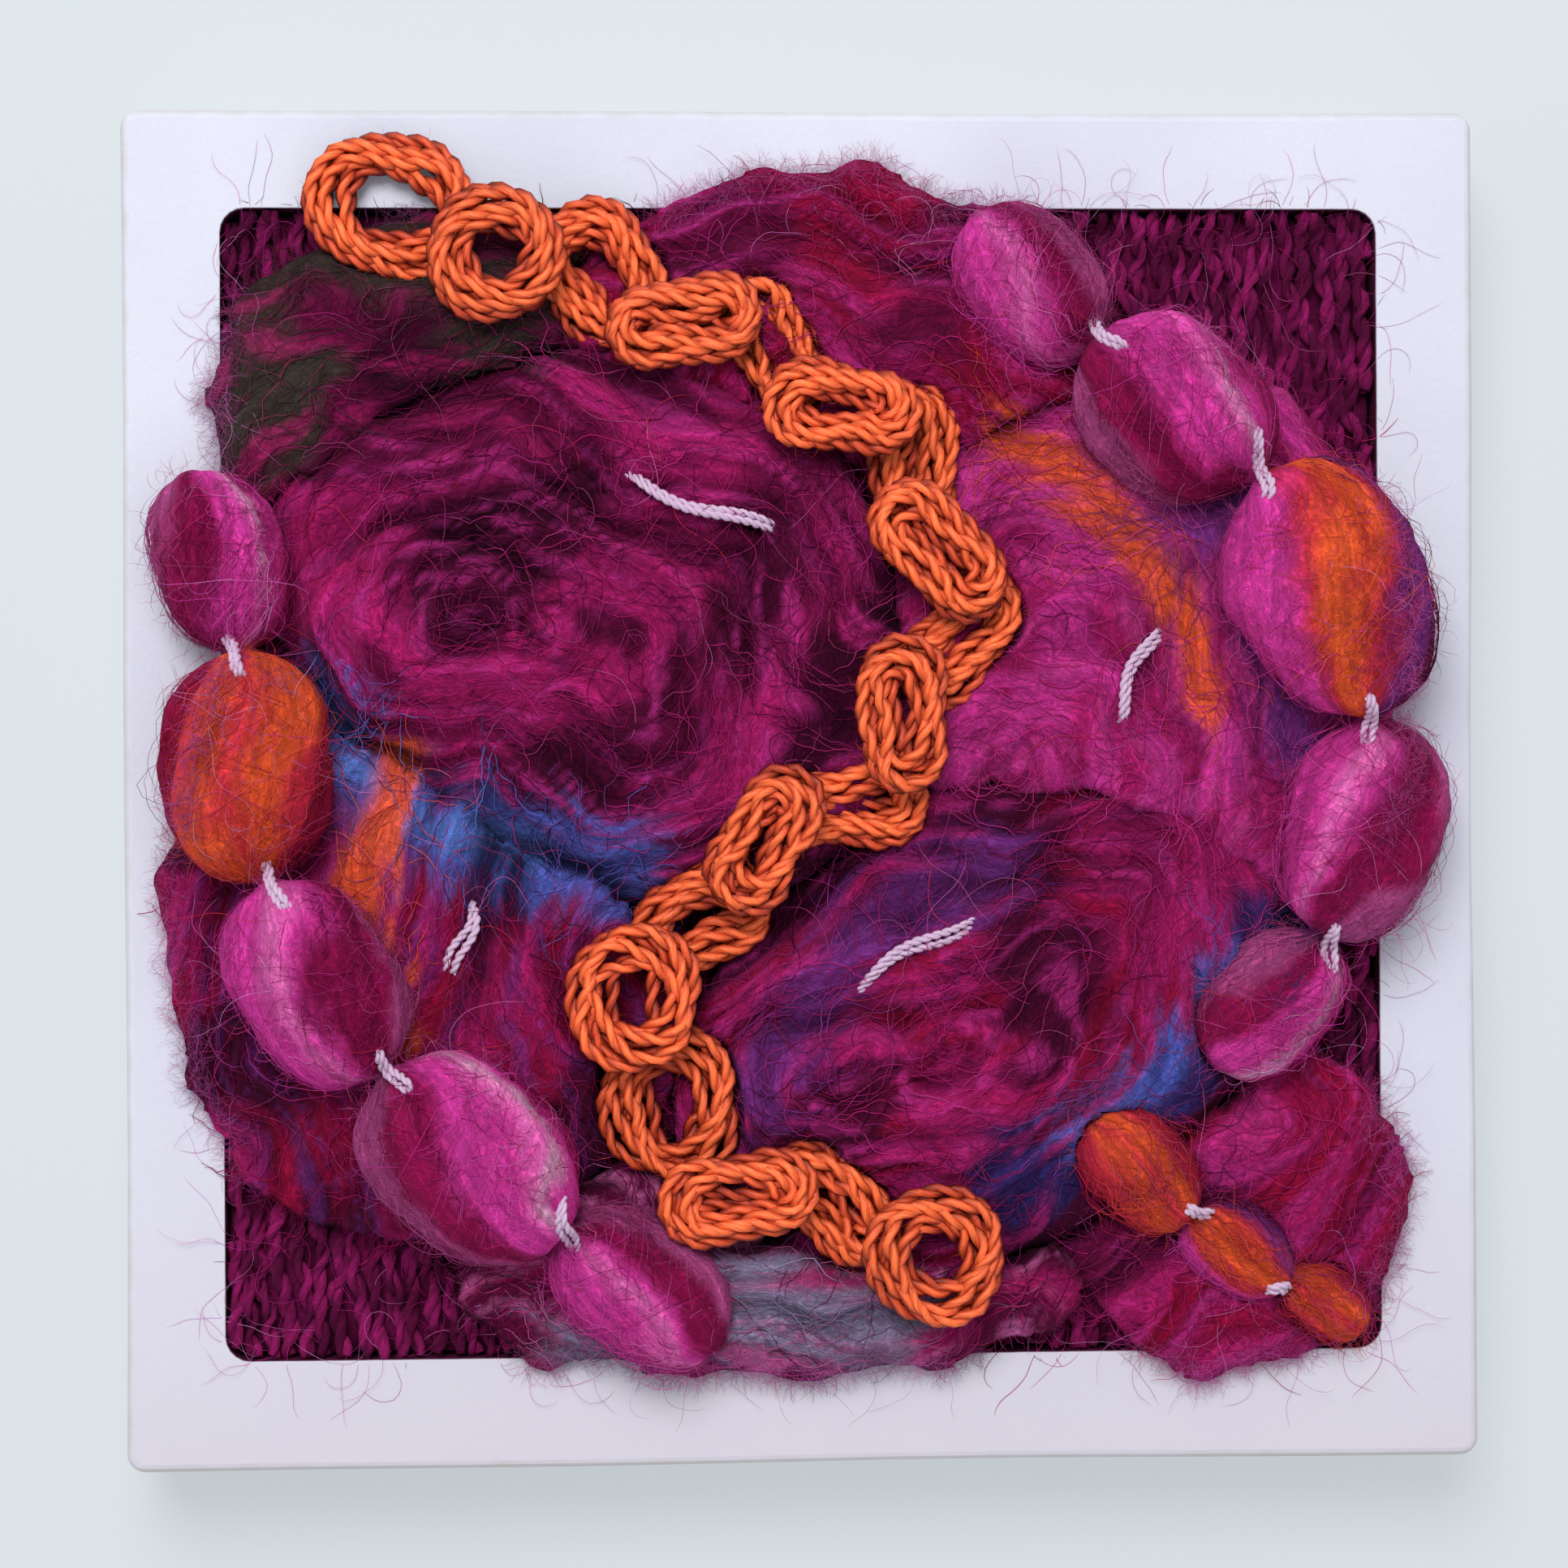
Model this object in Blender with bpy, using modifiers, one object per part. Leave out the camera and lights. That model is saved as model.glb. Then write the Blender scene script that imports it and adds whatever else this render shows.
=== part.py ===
"""A framed needle felt picture, 100 mm square.

A white one-piece frame holds a ribbed ground cloth in its recess. Wisps of wool are felted over the cloth
as soft mounds, and some swell over the edge of the window onto the frame. A stream of orange thread, wound
into small rings and loops, winds down over the wool, with runs of thick-and-thin slub yarn on both sides
of it and a few stitches of the yarn's pale core thread.

It lies on its back: Z = 0 is the frame's back, +Z points out of the picture and +Y to its top.
Lengths are in millimetres here, and MM makes them metres where Blender's data is made.
"""

import math
from collections import namedtuple

import bmesh
import bpy
from mathutils import Matrix, Vector

MM = 0.001

# Driving dimensions.
FRAME_SIDE = 100.0
FRAME_DEPTH = 12.0
FRAME_FLOOR = 7.6  # closed back, under the cloth
FRAME_CORNER = 1.3
FRAME_EDGE = 0.6  # rounding of the frame's outer edges
FRAME_WAVE = 0.12  # how far the hand-finished sides wander
SIDE_RAIL = 7.25
TOP_RAIL = 7.25
BOTTOM_RAIL = 8.1
WINDOW_CORNER = 1.8
WINDOW_EDGE = 0.25  # rounding of the window's edge
CORNER_STEPS = 5
SIDE_STEPS = 9

# Gaps. Each seat in the wool is larger than what lies in it, so that its facets stay about a gap away.
GAP = 0.3  # between pieces that touch
WOOL_CLEAR = 0.45
SLUB_CLEAR = 0.55
LOOP_CLEAR = 0.36
CLOTH_MARGIN = 0.35  # from the cloth's edge to the recess's wall
CLOTH_CORNER = 0.5  # how far its corners are drawn in, to clear the recess's rounded corners
CLOTH_THICKNESS = 2.6
CLOTH_SWELL = 0.15  # how uneven the cloth lies
SWELL_ACROSS = 5.0  # the swells' spacing
SWELL_UP = 9.0
CLOTH_CELLS = 7

CLOTH_TOP = FRAME_FLOOR + GAP + CLOTH_THICKNESS
WOOL_BASE = CLOTH_TOP + GAP + CLOTH_SWELL
WOOL_MIDDLE = 12.4  # height at which the mounds are widest
WOOL_SIDES = 16
WOOL_RINGS = 9

WINDOW_WIDTH = FRAME_SIDE - 2 * SIDE_RAIL
WINDOW_HEIGHT = FRAME_SIDE - TOP_RAIL - BOTTOM_RAIL
WINDOW_Y = (BOTTOM_RAIL - TOP_RAIL) / 2

# Mounds of felted wool, the lowest first: each lies over those above it in the list. "length" and "width"
# are half sizes in plan, "turn" is in degrees, "top" is the height of the crown, and "lobes" and "swell"
# say how many soft bulges its outline has and how far they go.
Wool = namedtuple("Wool", "name x y length width turn top lobes swell")
WOOL = (
    Wool("wool_dark_corner", -29.5, 29.5, 16, 12.5, 40, 15.0, 3, 0.07),
    Wool("wool_lower_edge", -1, -33.5, 26, 10, 3, 14.8, 4, 0.05),
    Wool("wool_far_corner", 30.5, -30, 14.5, 13, -30, 14.8, 3, 0.06),
    Wool("wool_top_edge", 3, 33.5, 22, 12, -8, 15.9, 3, 0.06),
    Wool("wool_left_bank", -28.5, -11, 19.5, 23.5, 16, 16.4, 3, 0.07),
    Wool("wool_right_bank", 24.5, 9, 21, 23.5, 12, 16.8, 3, 0.07),
    Wool("wool_lower_swirl", 13, -17, 24.5, 18, 24, 17.7, 2, 0.06),
    Wool("wool_upper_swirl", -15, 12, 25, 20, -22, 18.4, 3, 0.06),
)

# Runs of slub yarn: a row for each bead or neck, with its place in plan and the yarn's radius there.
Slub = namedtuple("Slub", "x y radius")
NECK = 0.8
BEAD_FULLNESS = 0.6  # lower is blunter
BEAD_STEPS = 4  # sections from a neck to the middle of a bead
SLUB_SQUASH = 0.72  # the beads are felted down to this share of their width
SLUB_SINK = 2.4
END_DROP = 1.0  # from a run's last bead to its end
SLUB_RUNS = {
    "slub_yarn_right": (
        Slub(12.6, 42.0, NECK),
        Slub(16.6, 36.6, 4.6),
        Slub(21.0, 32.0, NECK),
        Slub(26.6, 27.6, 6.0),
        Slub(33.0, 22.4, NECK),
        Slub(38.2, 14.2, 6.8),
        Slub(41.0, 5.0, NECK),
        Slub(40.4, -3.4, 5.6),
        Slub(37.6, -11.0, NECK),
        Slub(33.8, -16.2, 4.4),
        Slub(29.8, -20.6, NECK),
    ),
    "slub_yarn_left": (
        Slub(-45.0, 23.0, NECK),
        Slub(-42.6, 16.4, 4.6),
        Slub(-41.0, 10.0, NECK),
        Slub(-40.6, 1.8, 5.8),
        Slub(-39.0, -6.6, NECK),
        Slub(-35.4, -14.0, 5.6),
        Slub(-30.8, -20.4, NECK),
        Slub(-24.8, -26.6, 6.4),
        Slub(-18.2, -32.0, NECK),
        Slub(-12.4, -36.4, 4.8),
        Slub(-6.4, -40.6, NECK),
    ),
    "slub_yarn_low": (
        Slub(20.4, -24.6, NECK),
        Slub(24.2, -28.2, 3.6),
        Slub(27.8, -31.6, NECK),
        Slub(31.6, -34.2, 3.1),
        Slub(35.0, -36.4, NECK),
        Slub(38.2, -38.2, 2.5),
        Slub(41.4, -40.2, NECK),
    ),
}

# The stream that the thread's loops follow, from the top of the picture to its foot.
STREAM = (
    (-31.0, 43.0),
    (-18.0, 38.0),
    (-3.0, 32.0),
    (8.0, 23.0),
    (10.5, 11.0),
    (3.5, 0.0),
    (-7.5, -8.0),
    (-12.5, -18.5),
    (-6.5, -28.0),
    (5.5, -32.5),
    (17.0, -38.0),
)

STREAM_STEPS = 12

# Thread loops along the stream: "along" and "aside" in millimetres place one, "turn" swings it from the
# stream's course, "length" and "width" are half sizes of the loop's middle line, and "thick" is the
# radius of its bundle of strands. A loop as wide as it is long is a ring.
Loop = namedtuple("Loop", "along aside turn length width thick")
LOOP_CORNERS = 12
LOOP_SQUASH = 0.85
LOOP_SINK = 1.9
LOOPS = (
    Loop(1.0, 0.0, 10, 4.8, 3.8, 1.6),
    Loop(9.5, -0.8, 20, 3.7, 3.4, 1.6),
    Loop(17.0, 0.8, -32, 4.2, 2.8, 1.5),
    Loop(24.0, -0.8, 34, 4.4, 1.8, 1.4),
    Loop(30.5, 0.8, -32, 4.2, 1.75, 1.35),
    Loop(37.0, -0.8, 30, 4.4, 1.8, 1.4),
    Loop(43.5, 0.8, -34, 4.2, 1.75, 1.35),
    Loop(50.5, -0.8, 32, 4.6, 1.85, 1.45),
    Loop(57.0, 0.8, -30, 4.2, 1.75, 1.35),
    Loop(64.0, -0.8, 34, 4.4, 1.8, 1.4),
    Loop(71.0, 0.8, -34, 4.4, 1.75, 1.35),
    Loop(78.0, -0.8, 30, 4.2, 1.8, 1.4),
    Loop(85.0, 0.8, -26, 4.2, 2.2, 1.45),
    Loop(92.5, -0.8, 20, 3.9, 3.2, 1.6),
    Loop(101.0, 0.8, -20, 4.2, 3.4, 1.6),
    Loop(109.0, -0.8, 34, 4.4, 1.8, 1.4),
    Loop(116.0, 0.8, -30, 4.2, 1.75, 1.35),
    Loop(124.0, 0.0, 10, 3.8, 3.5, 1.65),
)

# Stitches of the slub yarn's core thread: both ends in plan.
Stitch = namedtuple("Stitch", "name x0 y0 x1 y1")
STITCH_RADIUS = 0.6
STITCH_SINK = 0.4
STITCH_STEPS = 5
STITCHES = (
    Stitch("core_stitch_upper", -1.5, 18.5, -13.5, 23.0),
    Stitch("core_stitch_right", 22.5, 4.0, 26.0, 12.0),
    Stitch("core_stitch_lower", 3.0, -15.0, 12.5, -9.5),
    Stitch("core_stitch_left", -24.5, -8.0, -26.5, -14.0),
)

COLOURS = {
    "painted frame": ((0.80, 0.81, 0.88), 0.75),
    "ground yarn": ((0.24, 0.01, 0.12), 0.9),
    "felted wool": ((0.40, 0.02, 0.20), 0.95),
    "slub wool": ((0.48, 0.05, 0.30), 0.95),
    "orange thread": ((0.75, 0.14, 0.02), 0.6),
    "core thread": ((0.75, 0.55, 0.72), 0.7),
}

# How a yarn finds its height: the spots of its underside that are felt for, as shares of its radius, and
# how often it is drawn tight over what it lies on.
UNDERSIDE_RINGS = (0, 0.3, 0.5, 0.7, 0.85, 0.95)
UNDERSIDE_SPOKES = 10
STRETCHES = 12

Ball = namedtuple("Ball", "x y z radius rise")  # "rise" is half its height
laid = []  # what lies on the wool so far, as balls along each piece


# Scene and materials.


def clear_scene():
    for old in list(bpy.data.objects):
        bpy.data.objects.remove(old, do_unlink=True)


def collection(name):
    made = bpy.data.collections.new(name)
    bpy.context.scene.collection.children.link(made)
    return made


def material(name):
    colour, roughness = COLOURS[name]
    made = bpy.data.materials.new(name)
    made.use_nodes = True
    shader = made.node_tree.nodes["Principled BSDF"]
    shader.inputs["Base Color"].default_value = (*colour, 1.0)
    shader.inputs["Roughness"].default_value = roughness
    shader.inputs["Metallic"].default_value = 0.0
    return made


def add_object(name, data, place, finish=None):
    made = bpy.data.objects.new(name, data)
    place.objects.link(made)
    if finish:
        made.data.materials.append(finish)
    return made


def hide_cutter(cutter):
    cutter.hide_render = True
    cutter.display_type = "WIRE"


def as_mesh(source):
    """Turns a curve or a modified object into a mesh object of the same name, its seams welded."""
    bpy.context.view_layer.update()
    evaluated = source.evaluated_get(bpy.context.evaluated_depsgraph_get())
    mesh = bpy.data.meshes.new_from_object(evaluated)
    mesh.transform(source.matrix_world)
    welded = bmesh.new()
    welded.from_mesh(mesh)
    bmesh.ops.remove_doubles(welded, verts=welded.verts, dist=0.00001)
    bmesh.ops.recalc_face_normals(welded, faces=welded.faces)
    welded.to_mesh(mesh)
    welded.free()
    name = source.name
    place = source.users_collection[0]
    bpy.data.objects.remove(source, do_unlink=True)
    return add_object(name, mesh, place)


# Frame and cloth.


def rounded_outline(width, height, corner, wave=0.0):
    """Points round a rectangle with arcs for corners, its sides dipping in by up to twice the wave."""
    points = []
    for quarter, (across, up) in enumerate(((1, 1), (-1, 1), (-1, -1), (1, -1))):
        centre = Vector((across * (width / 2 - corner), up * (height / 2 - corner)))
        for step in range(CORNER_STEPS + 1):
            angle = (quarter + step / CORNER_STEPS) * math.pi / 2
            outward = Vector((math.cos(angle), math.sin(angle)))
            points.append(centre + corner * outward)
        if wave:
            start = points[-1]
            side = Vector((-outward.y, outward.x)) * ((height if quarter % 2 else width) - 2 * corner)
            for step in range(1, SIDE_STEPS):
                share = step / SIDE_STEPS
                dip = wave * math.sin(share * math.pi) * (1 + math.sin(share * (7 + quarter) + quarter))
                points.append(start + side * share - outward * dip)
    return points


def plate(name, outline, bottom, top, edge, place):
    """A flat plate between two heights, its edges rounded by a curve's bevel."""
    curve = bpy.data.curves.new(name, "CURVE")
    curve.dimensions = "2D"
    curve.fill_mode = "BOTH"
    spline = curve.splines.new("POLY")
    spline.points.add(len(outline) - 1)
    for point, place_xy in zip(spline.points, outline):
        point.co = (place_xy.x * MM, place_xy.y * MM, 0, 1)
    spline.use_cyclic_u = True
    curve.bevel_depth = edge * MM
    curve.bevel_resolution = 2
    curve.offset = -edge * MM
    curve.extrude = ((top - bottom) / 2 - edge) * MM
    made = add_object(name, curve, place)
    made.location = (0, 0, (top + bottom) / 2 * MM)
    return as_mesh(made)


def make_frame(place, cutters, finish):
    outer = rounded_outline(FRAME_SIDE, FRAME_SIDE, FRAME_CORNER, FRAME_WAVE)
    frame = plate("frame", outer, 0, FRAME_DEPTH, FRAME_EDGE, place)
    window = rounded_outline(WINDOW_WIDTH, WINDOW_HEIGHT, WINDOW_CORNER)
    recess = plate("recess_cutter", window, FRAME_FLOOR, 2 * FRAME_DEPTH, 0, cutters)
    recess.location.y = WINDOW_Y * MM
    hide_cutter(recess)
    cut = frame.modifiers.new("recess", "BOOLEAN")
    cut.operation = "DIFFERENCE"
    cut.object = recess
    rounding = frame.modifiers.new("window edge", "BEVEL")
    rounding.width = WINDOW_EDGE * MM
    rounding.segments = 2
    rounding.limit_method = "ANGLE"
    rounding.angle_limit = math.radians(60)
    frame.data.materials.append(finish)
    return frame


def make_cloth(place, finish):
    """The ribbed cloth, a sheet whose top and underside swell and sink together a little."""
    sheet = bmesh.new()
    bmesh.ops.create_grid(sheet, x_segments=CLOTH_CELLS, y_segments=CLOTH_CELLS, size=0.5)
    width = WINDOW_WIDTH - 2 * CLOTH_MARGIN
    height = WINDOW_HEIGHT - 2 * CLOTH_MARGIN
    for corner in sheet.verts:
        x = corner.co.x * width
        y = corner.co.y * height
        if abs(corner.co.x) + abs(corner.co.y) > 0.99:
            x -= math.copysign(CLOTH_CORNER, x)
            y -= math.copysign(CLOTH_CORNER, y)
        swell = CLOTH_SWELL * math.sin(x / SWELL_ACROSS) * math.sin(y / SWELL_UP + 1.0)
        corner.co = Vector((x, y + WINDOW_Y, CLOTH_TOP + swell)) * MM
    mesh = bpy.data.meshes.new("ground_cloth")
    sheet.to_mesh(mesh)
    sheet.free()
    cloth = add_object("ground_cloth", mesh, place, finish)
    thickness = cloth.modifiers.new("thickness", "SOLIDIFY")
    thickness.thickness = (CLOTH_THICKNESS - CLOTH_SWELL) * MM
    thickness.offset = -1
    return cloth


# Felted wool.


def outline_share(wool, x, y):
    """How far (x, y) is from a mound's middle, as a share of its outline there."""
    turn = math.radians(wool.turn)
    dx = x - wool.x
    dy = y - wool.y
    along = (dx * math.cos(turn) + dy * math.sin(turn)) / wool.length
    across = (dy * math.cos(turn) - dx * math.sin(turn)) / wool.width
    bulge = 1 + wool.swell * math.sin(wool.lobes * math.atan2(across, along) + wool.x)
    return math.hypot(along, across) / bulge


def wool_surface(x, y):
    """Height of the felted wool's surface at (x, y)."""
    surface = CLOTH_TOP
    for wool in WOOL:
        share = outline_share(wool, x, y)
        if share < 1:
            rise = (wool.top - WOOL_MIDDLE) * math.sqrt(1 - share**2)
            surface = max(surface, WOOL_MIDDLE + rise)
    return surface


def wool_body(wool, name, place, grow=0.0):
    """A mound: a ball drawn out to its outline and crown, flat where it lies on the cloth."""
    ball = bmesh.new()
    bmesh.ops.create_uvsphere(ball, u_segments=WOOL_SIDES, v_segments=WOOL_RINGS, radius=1.0)
    turn = Matrix.Rotation(math.radians(wool.turn), 3, "Z")
    rise = wool.top - WOOL_MIDDLE + grow
    for corner in ball.verts:
        x, y, z = corner.co
        bulge = 1 + wool.swell * math.sin(wool.lobes * math.atan2(y, x) + wool.x)
        flat = turn @ Vector((x * (wool.length * bulge + grow), y * (wool.width * bulge + grow), 0))
        height = max(WOOL_MIDDLE + z * rise, WOOL_BASE - 2 * grow)
        corner.co = Vector((flat.x + wool.x, flat.y + wool.y, height)) * MM
    mesh = bpy.data.meshes.new(name)
    ball.to_mesh(mesh)
    ball.free()
    return add_object(name, mesh, place)


def frame_clearance(cutters):
    """A block around the window, a gap larger than the frame, that trims the wool."""
    block = plate(
        "frame_clearance",
        rounded_outline(2 * FRAME_SIDE, 2 * FRAME_SIDE, FRAME_CORNER),
        -FRAME_DEPTH,
        FRAME_DEPTH + GAP,
        0,
        cutters,
    )
    window = rounded_outline(WINDOW_WIDTH - 2 * GAP, WINDOW_HEIGHT - 2 * GAP, WINDOW_CORNER)
    opening = plate("clear_opening", window, -2 * FRAME_DEPTH, 2 * FRAME_DEPTH, 0, cutters)
    opening.location.y = WINDOW_Y * MM
    hide_cutter(opening)
    cut = block.modifiers.new("opening", "BOOLEAN")
    cut.operation = "DIFFERENCE"
    cut.object = opening
    block = as_mesh(block)
    hide_cutter(block)
    return block


def reach(thing):
    """The lowest and highest corner of an object's mesh."""
    corners = [thing.matrix_world @ vertex.co for vertex in thing.data.vertices]
    low = [min(corner[axis] for corner in corners) for axis in range(3)]
    high = [max(corner[axis] for corner in corners) for axis in range(3)]
    return low, high


def near(one, other):
    low, high = reach(one)
    other_low, other_high = reach(other)
    return all(low[axis] < other_high[axis] and other_low[axis] < high[axis] for axis in range(3))


def keep_largest_body(mesh):
    """Deletes the crumbs that trimming leaves beside a mesh's main body."""
    work = bmesh.new()
    work.from_mesh(mesh)
    waiting = set(work.verts)
    bodies = []
    while waiting:
        body = set()
        edge = [waiting.pop()]
        while edge:
            vertex = edge.pop()
            body.add(vertex)
            for link in vertex.link_edges:
                other = link.other_vert(vertex)
                if other in waiting:
                    waiting.remove(other)
                    edge.append(other)
        bodies.append(body)
    bodies.sort(key=len)
    for body in bodies[:-1]:
        bmesh.ops.delete(work, geom=list(body), context="VERTS")
    work.to_mesh(mesh)
    work.free()


def make_wool(place, cutters, seats, finish):
    """The mounds, each trimmed by the frame, by the mounds over it and by what is pressed into it."""
    frame_cutter = frame_clearance(cutters)
    grown = [wool_body(wool, wool.name + "_clearance", cutters, WOOL_CLEAR) for wool in WOOL]
    for cutter in grown:
        hide_cutter(cutter)
    for order, wool in enumerate(WOOL):
        mound = wool_body(wool, wool.name, place)
        over = grown[order + 1 :] + seats
        for cutter in [frame_cutter, *(piece for piece in over if near(mound, piece))]:
            cut = mound.modifiers.new(cutter.name, "BOOLEAN")
            cut.solver = "MANIFOLD"
            cut.operation = "DIFFERENCE"
            cut.object = cutter
        mound = as_mesh(mound)
        keep_largest_body(mound.data)
        mound.data.materials.append(finish)


# What lies on the wool.


def hard_surface(x, y):
    """Height of the frame's face, or of the cloth in its window."""
    beside = abs(x) > WINDOW_WIDTH / 2 or abs(y - WINDOW_Y) > WINDOW_HEIGHT / 2
    return FRAME_DEPTH if beside else CLOTH_TOP + CLOTH_SWELL


def resting_height(x, y, radius, squash, sink):
    """Middle height of a yarn at (x, y): on frame or cloth, over what is laid, and sunk into the wool."""
    height = 0
    for ring in UNDERSIDE_RINGS:
        for spoke in range(UNDERSIDE_SPOKES if ring else 1):
            angle = 2 * math.pi * spoke / UNDERSIDE_SPOKES
            px = x + ring * radius * math.cos(angle)
            py = y + ring * radius * math.sin(angle)
            rise = squash * radius * math.sqrt(1 - ring**2)
            height = max(height, hard_surface(px, py) + GAP + rise, wool_surface(px, py) - sink + rise)
    for ball in laid:
        apart = math.hypot(x - ball.x, y - ball.y) / (radius + ball.radius + GAP)
        if apart < 1:
            over = (squash * radius + ball.rise + GAP) * math.sqrt(1 - apart**2)
            height = max(height, ball.z + over)
    return height


def stretched(heights, closed):
    """Heights of a yarn drawn over what is under it, so that it bridges the hollows."""
    heights = list(heights)
    count = len(heights)
    for _ in range(STRETCHES):
        for here in range(count):
            if closed or 0 < here < count - 1:
                beside = (heights[here - 1] + heights[(here + 1) % count]) / 2
                heights[here] = max(heights[here], beside)
    return heights


def yarn(name, route, radii, squash, closed, place):
    """A yarn along a route, round where squash is 1 and flatter where it is less."""
    curve = bpy.data.curves.new(name, "CURVE")
    curve.dimensions = "3D"
    curve.bevel_depth = MM
    curve.bevel_resolution = 1
    curve.use_fill_caps = not closed
    spline = curve.splines.new("POLY")
    spline.points.add(len(route) - 1)
    for point, (x, y, z), radius in zip(spline.points, route, radii):
        point.co = (x * MM, y * MM, z * MM / squash, 1)
        point.radius = radius
    spline.use_cyclic_u = closed
    made = add_object(name, curve, place)
    made.scale = (1, 1, squash)
    return as_mesh(made)


def drawn_out(route, extra):
    """A route made longer at both ends."""
    points = [Vector(point) for point in route]
    points[0] += (points[0] - points[1]).normalized() * extra
    points[-1] += (points[-1] - points[-2]).normalized() * extra
    return [tuple(point) for point in points]


def lay(name, route, radii, squash, clear, closed, place, cutters, finish):
    """Makes a yarn where it lies, and returns the cutter, larger by "clear", of its seat in the wool."""
    laid.extend(Ball(x, y, z, radius, squash * radius) for (x, y, z), radius in zip(route, radii))
    piece = yarn(name, route, radii, squash, closed, place)
    piece.data.materials.append(finish)
    seat_route = route if closed else drawn_out(route, clear)
    seat = yarn(name + "_seat", seat_route, [radius + clear for radius in radii], squash, closed, cutters)
    hide_cutter(seat)
    return seat


def lie_down(plan, radii, squash, sink, closed):
    """The route of a yarn of one thickness, laid over what is there."""
    heights = [resting_height(x, y, radius, squash, sink) for (x, y), radius in zip(plan, radii)]
    return [(x, y, z) for (x, y), z in zip(plan, stretched(heights, closed))]


def smooth_course(points, pieces):
    """A smooth course through points of any width, with so many pieces between each two of them."""
    points = [Vector(point) for point in points]
    ends = [2 * points[0] - points[1], *points, 2 * points[-1] - points[-2]]
    course = []
    for here in range(1, len(ends) - 2):
        a, b, c, d = ends[here - 1 : here + 3]
        for step in range(pieces):
            t = step / pieces
            course.append((2 * b + (c - a) * t + (2 * a - 5 * b + 4 * c - d) * t**2
                           + (3 * b - a - 3 * c + d) * t**3) / 2)
    return [*course, points[-1]]


def bead_radii(rows):
    """The yarn's radius along a run, blunt where each bead leaves its neck."""
    radii = []
    for here, there in zip(rows, rows[1:]):
        neck = min(here.radius, there.radius)
        bead = max(here.radius, there.radius)
        for step in range(BEAD_STEPS):
            share = step / BEAD_STEPS
            from_bead = share if here.radius > there.radius else 1 - share
            radii.append(neck + (bead - neck) * (1 - from_bead**2) ** BEAD_FULLNESS)
    return [*radii, rows[-1].radius]


def lay_slub_runs(place, cutters, finish):
    """Lays the beads, with the necks hung from bead to bead."""
    seats = []
    for name, rows in SLUB_RUNS.items():
        row_radii = [row.radius for row in rows]
        row_route = lie_down([(row.x, row.y) for row in rows], row_radii, SLUB_SQUASH, SLUB_SINK, False)
        for end, beside in ((0, 1), (-1, -2)):
            x, y, z = row_route[end]
            row_route[end] = (x, y, max(z, row_route[beside][2] - END_DROP))
        course = smooth_course(row_route, BEAD_STEPS)
        radii = bead_radii(rows)
        lowest = [resting_height(p.x, p.y, r, SLUB_SQUASH, FRAME_DEPTH) for p, r in zip(course, radii)]
        route = [(point.x, point.y, max(point.z, least)) for point, least in zip(course, lowest)]
        seats.append(lay(name, route, radii, SLUB_SQUASH, SLUB_CLEAR, False, place, cutters, finish))
    return seats


def place_on_stream(course, along):
    """The point that far along the stream, and the stream's direction there."""
    for here, there in zip(course, course[1:]):
        step = (there - here).length
        if along <= step:
            break
        along -= step
    forward = (there - here).normalized()
    return here + forward * along, forward


def loop_plan(loop, course):
    """A loop's middle line in plan: two straight runs with a half circle at each end."""
    centre, forward = place_on_stream(course, loop.along)
    left = Vector((-forward.y, forward.x))
    centre += left * loop.aside
    turn = Matrix.Rotation(math.radians(loop.turn), 2)
    forward = turn @ forward
    left = turn @ left
    straight = loop.length - loop.width
    plan = []
    for step in range(LOOP_CORNERS):
        angle = 2 * math.pi * (step + 0.5) / LOOP_CORNERS
        shift = straight if math.cos(angle) > 0 else -straight
        round_end = forward * math.cos(angle) + left * math.sin(angle)
        point = centre + forward * shift + round_end * loop.width
        plan.append((point.x, point.y))
    return plan


def lay_thread_loops(place, cutters, finish):
    """Lays every other loop first, and then those that bridge them."""
    course = smooth_course(STREAM, STREAM_STEPS)
    seats = []
    numbered = list(enumerate(LOOPS, 1))
    for order, loop in numbered[::2] + numbered[1::2]:
        plan = loop_plan(loop, course)
        radii = [loop.thick] * len(plan)
        name = f"thread_loop_{order:02d}"
        route = lie_down(plan, radii, LOOP_SQUASH, LOOP_SINK, True)
        seats.append(lay(name, route, radii, LOOP_SQUASH, LOOP_CLEAR, True, place, cutters, finish))
    return seats


def lay_stitches(place, cutters, finish):
    seats = []
    for stitch in STITCHES:
        start = Vector((stitch.x0, stitch.y0))
        end = Vector((stitch.x1, stitch.y1))
        plan = [tuple(start.lerp(end, step / STITCH_STEPS)) for step in range(STITCH_STEPS + 1)]
        radii = [STITCH_RADIUS] * len(plan)
        route = lie_down(plan, radii, 1.0, STITCH_SINK, False)
        seats.append(lay(stitch.name, route, radii, 1.0, LOOP_CLEAR, False, place, cutters, finish))
    return seats


def main():
    clear_scene()
    picture = collection("framed_needle_felt_picture")
    cutters = collection("cutters")
    make_frame(picture, cutters, material("painted frame"))
    make_cloth(picture, material("ground yarn"))
    seats = lay_slub_runs(picture, cutters, material("slub wool"))
    seats += lay_thread_loops(picture, cutters, material("orange thread"))
    seats += lay_stitches(picture, cutters, material("core thread"))
    make_wool(picture, cutters, seats, material("felted wool"))


main()
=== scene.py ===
# %% [markdown]
# # Dressing a framed needle felt picture
#
# The object is a small square picture of wool in a plain white frame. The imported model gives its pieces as
# plain solids: a frame, a ground cloth, eight mounds of felted wool, three runs of thick-and-thin slub
# yarn, eighteen loops of orange thread and four stitches of pale core thread. This lesson keeps the frame,
# and makes every soft piece again as the fibres, plies and beads that it really is.
#
# Lengths are written in millimetres, as a maker measures them, and MM turns them into Blender's metres.

import math
from collections import namedtuple

import bmesh
import bpy
import numpy as np
from mathutils import Matrix, Vector
from mathutils.bvhtree import BVHTree


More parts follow.
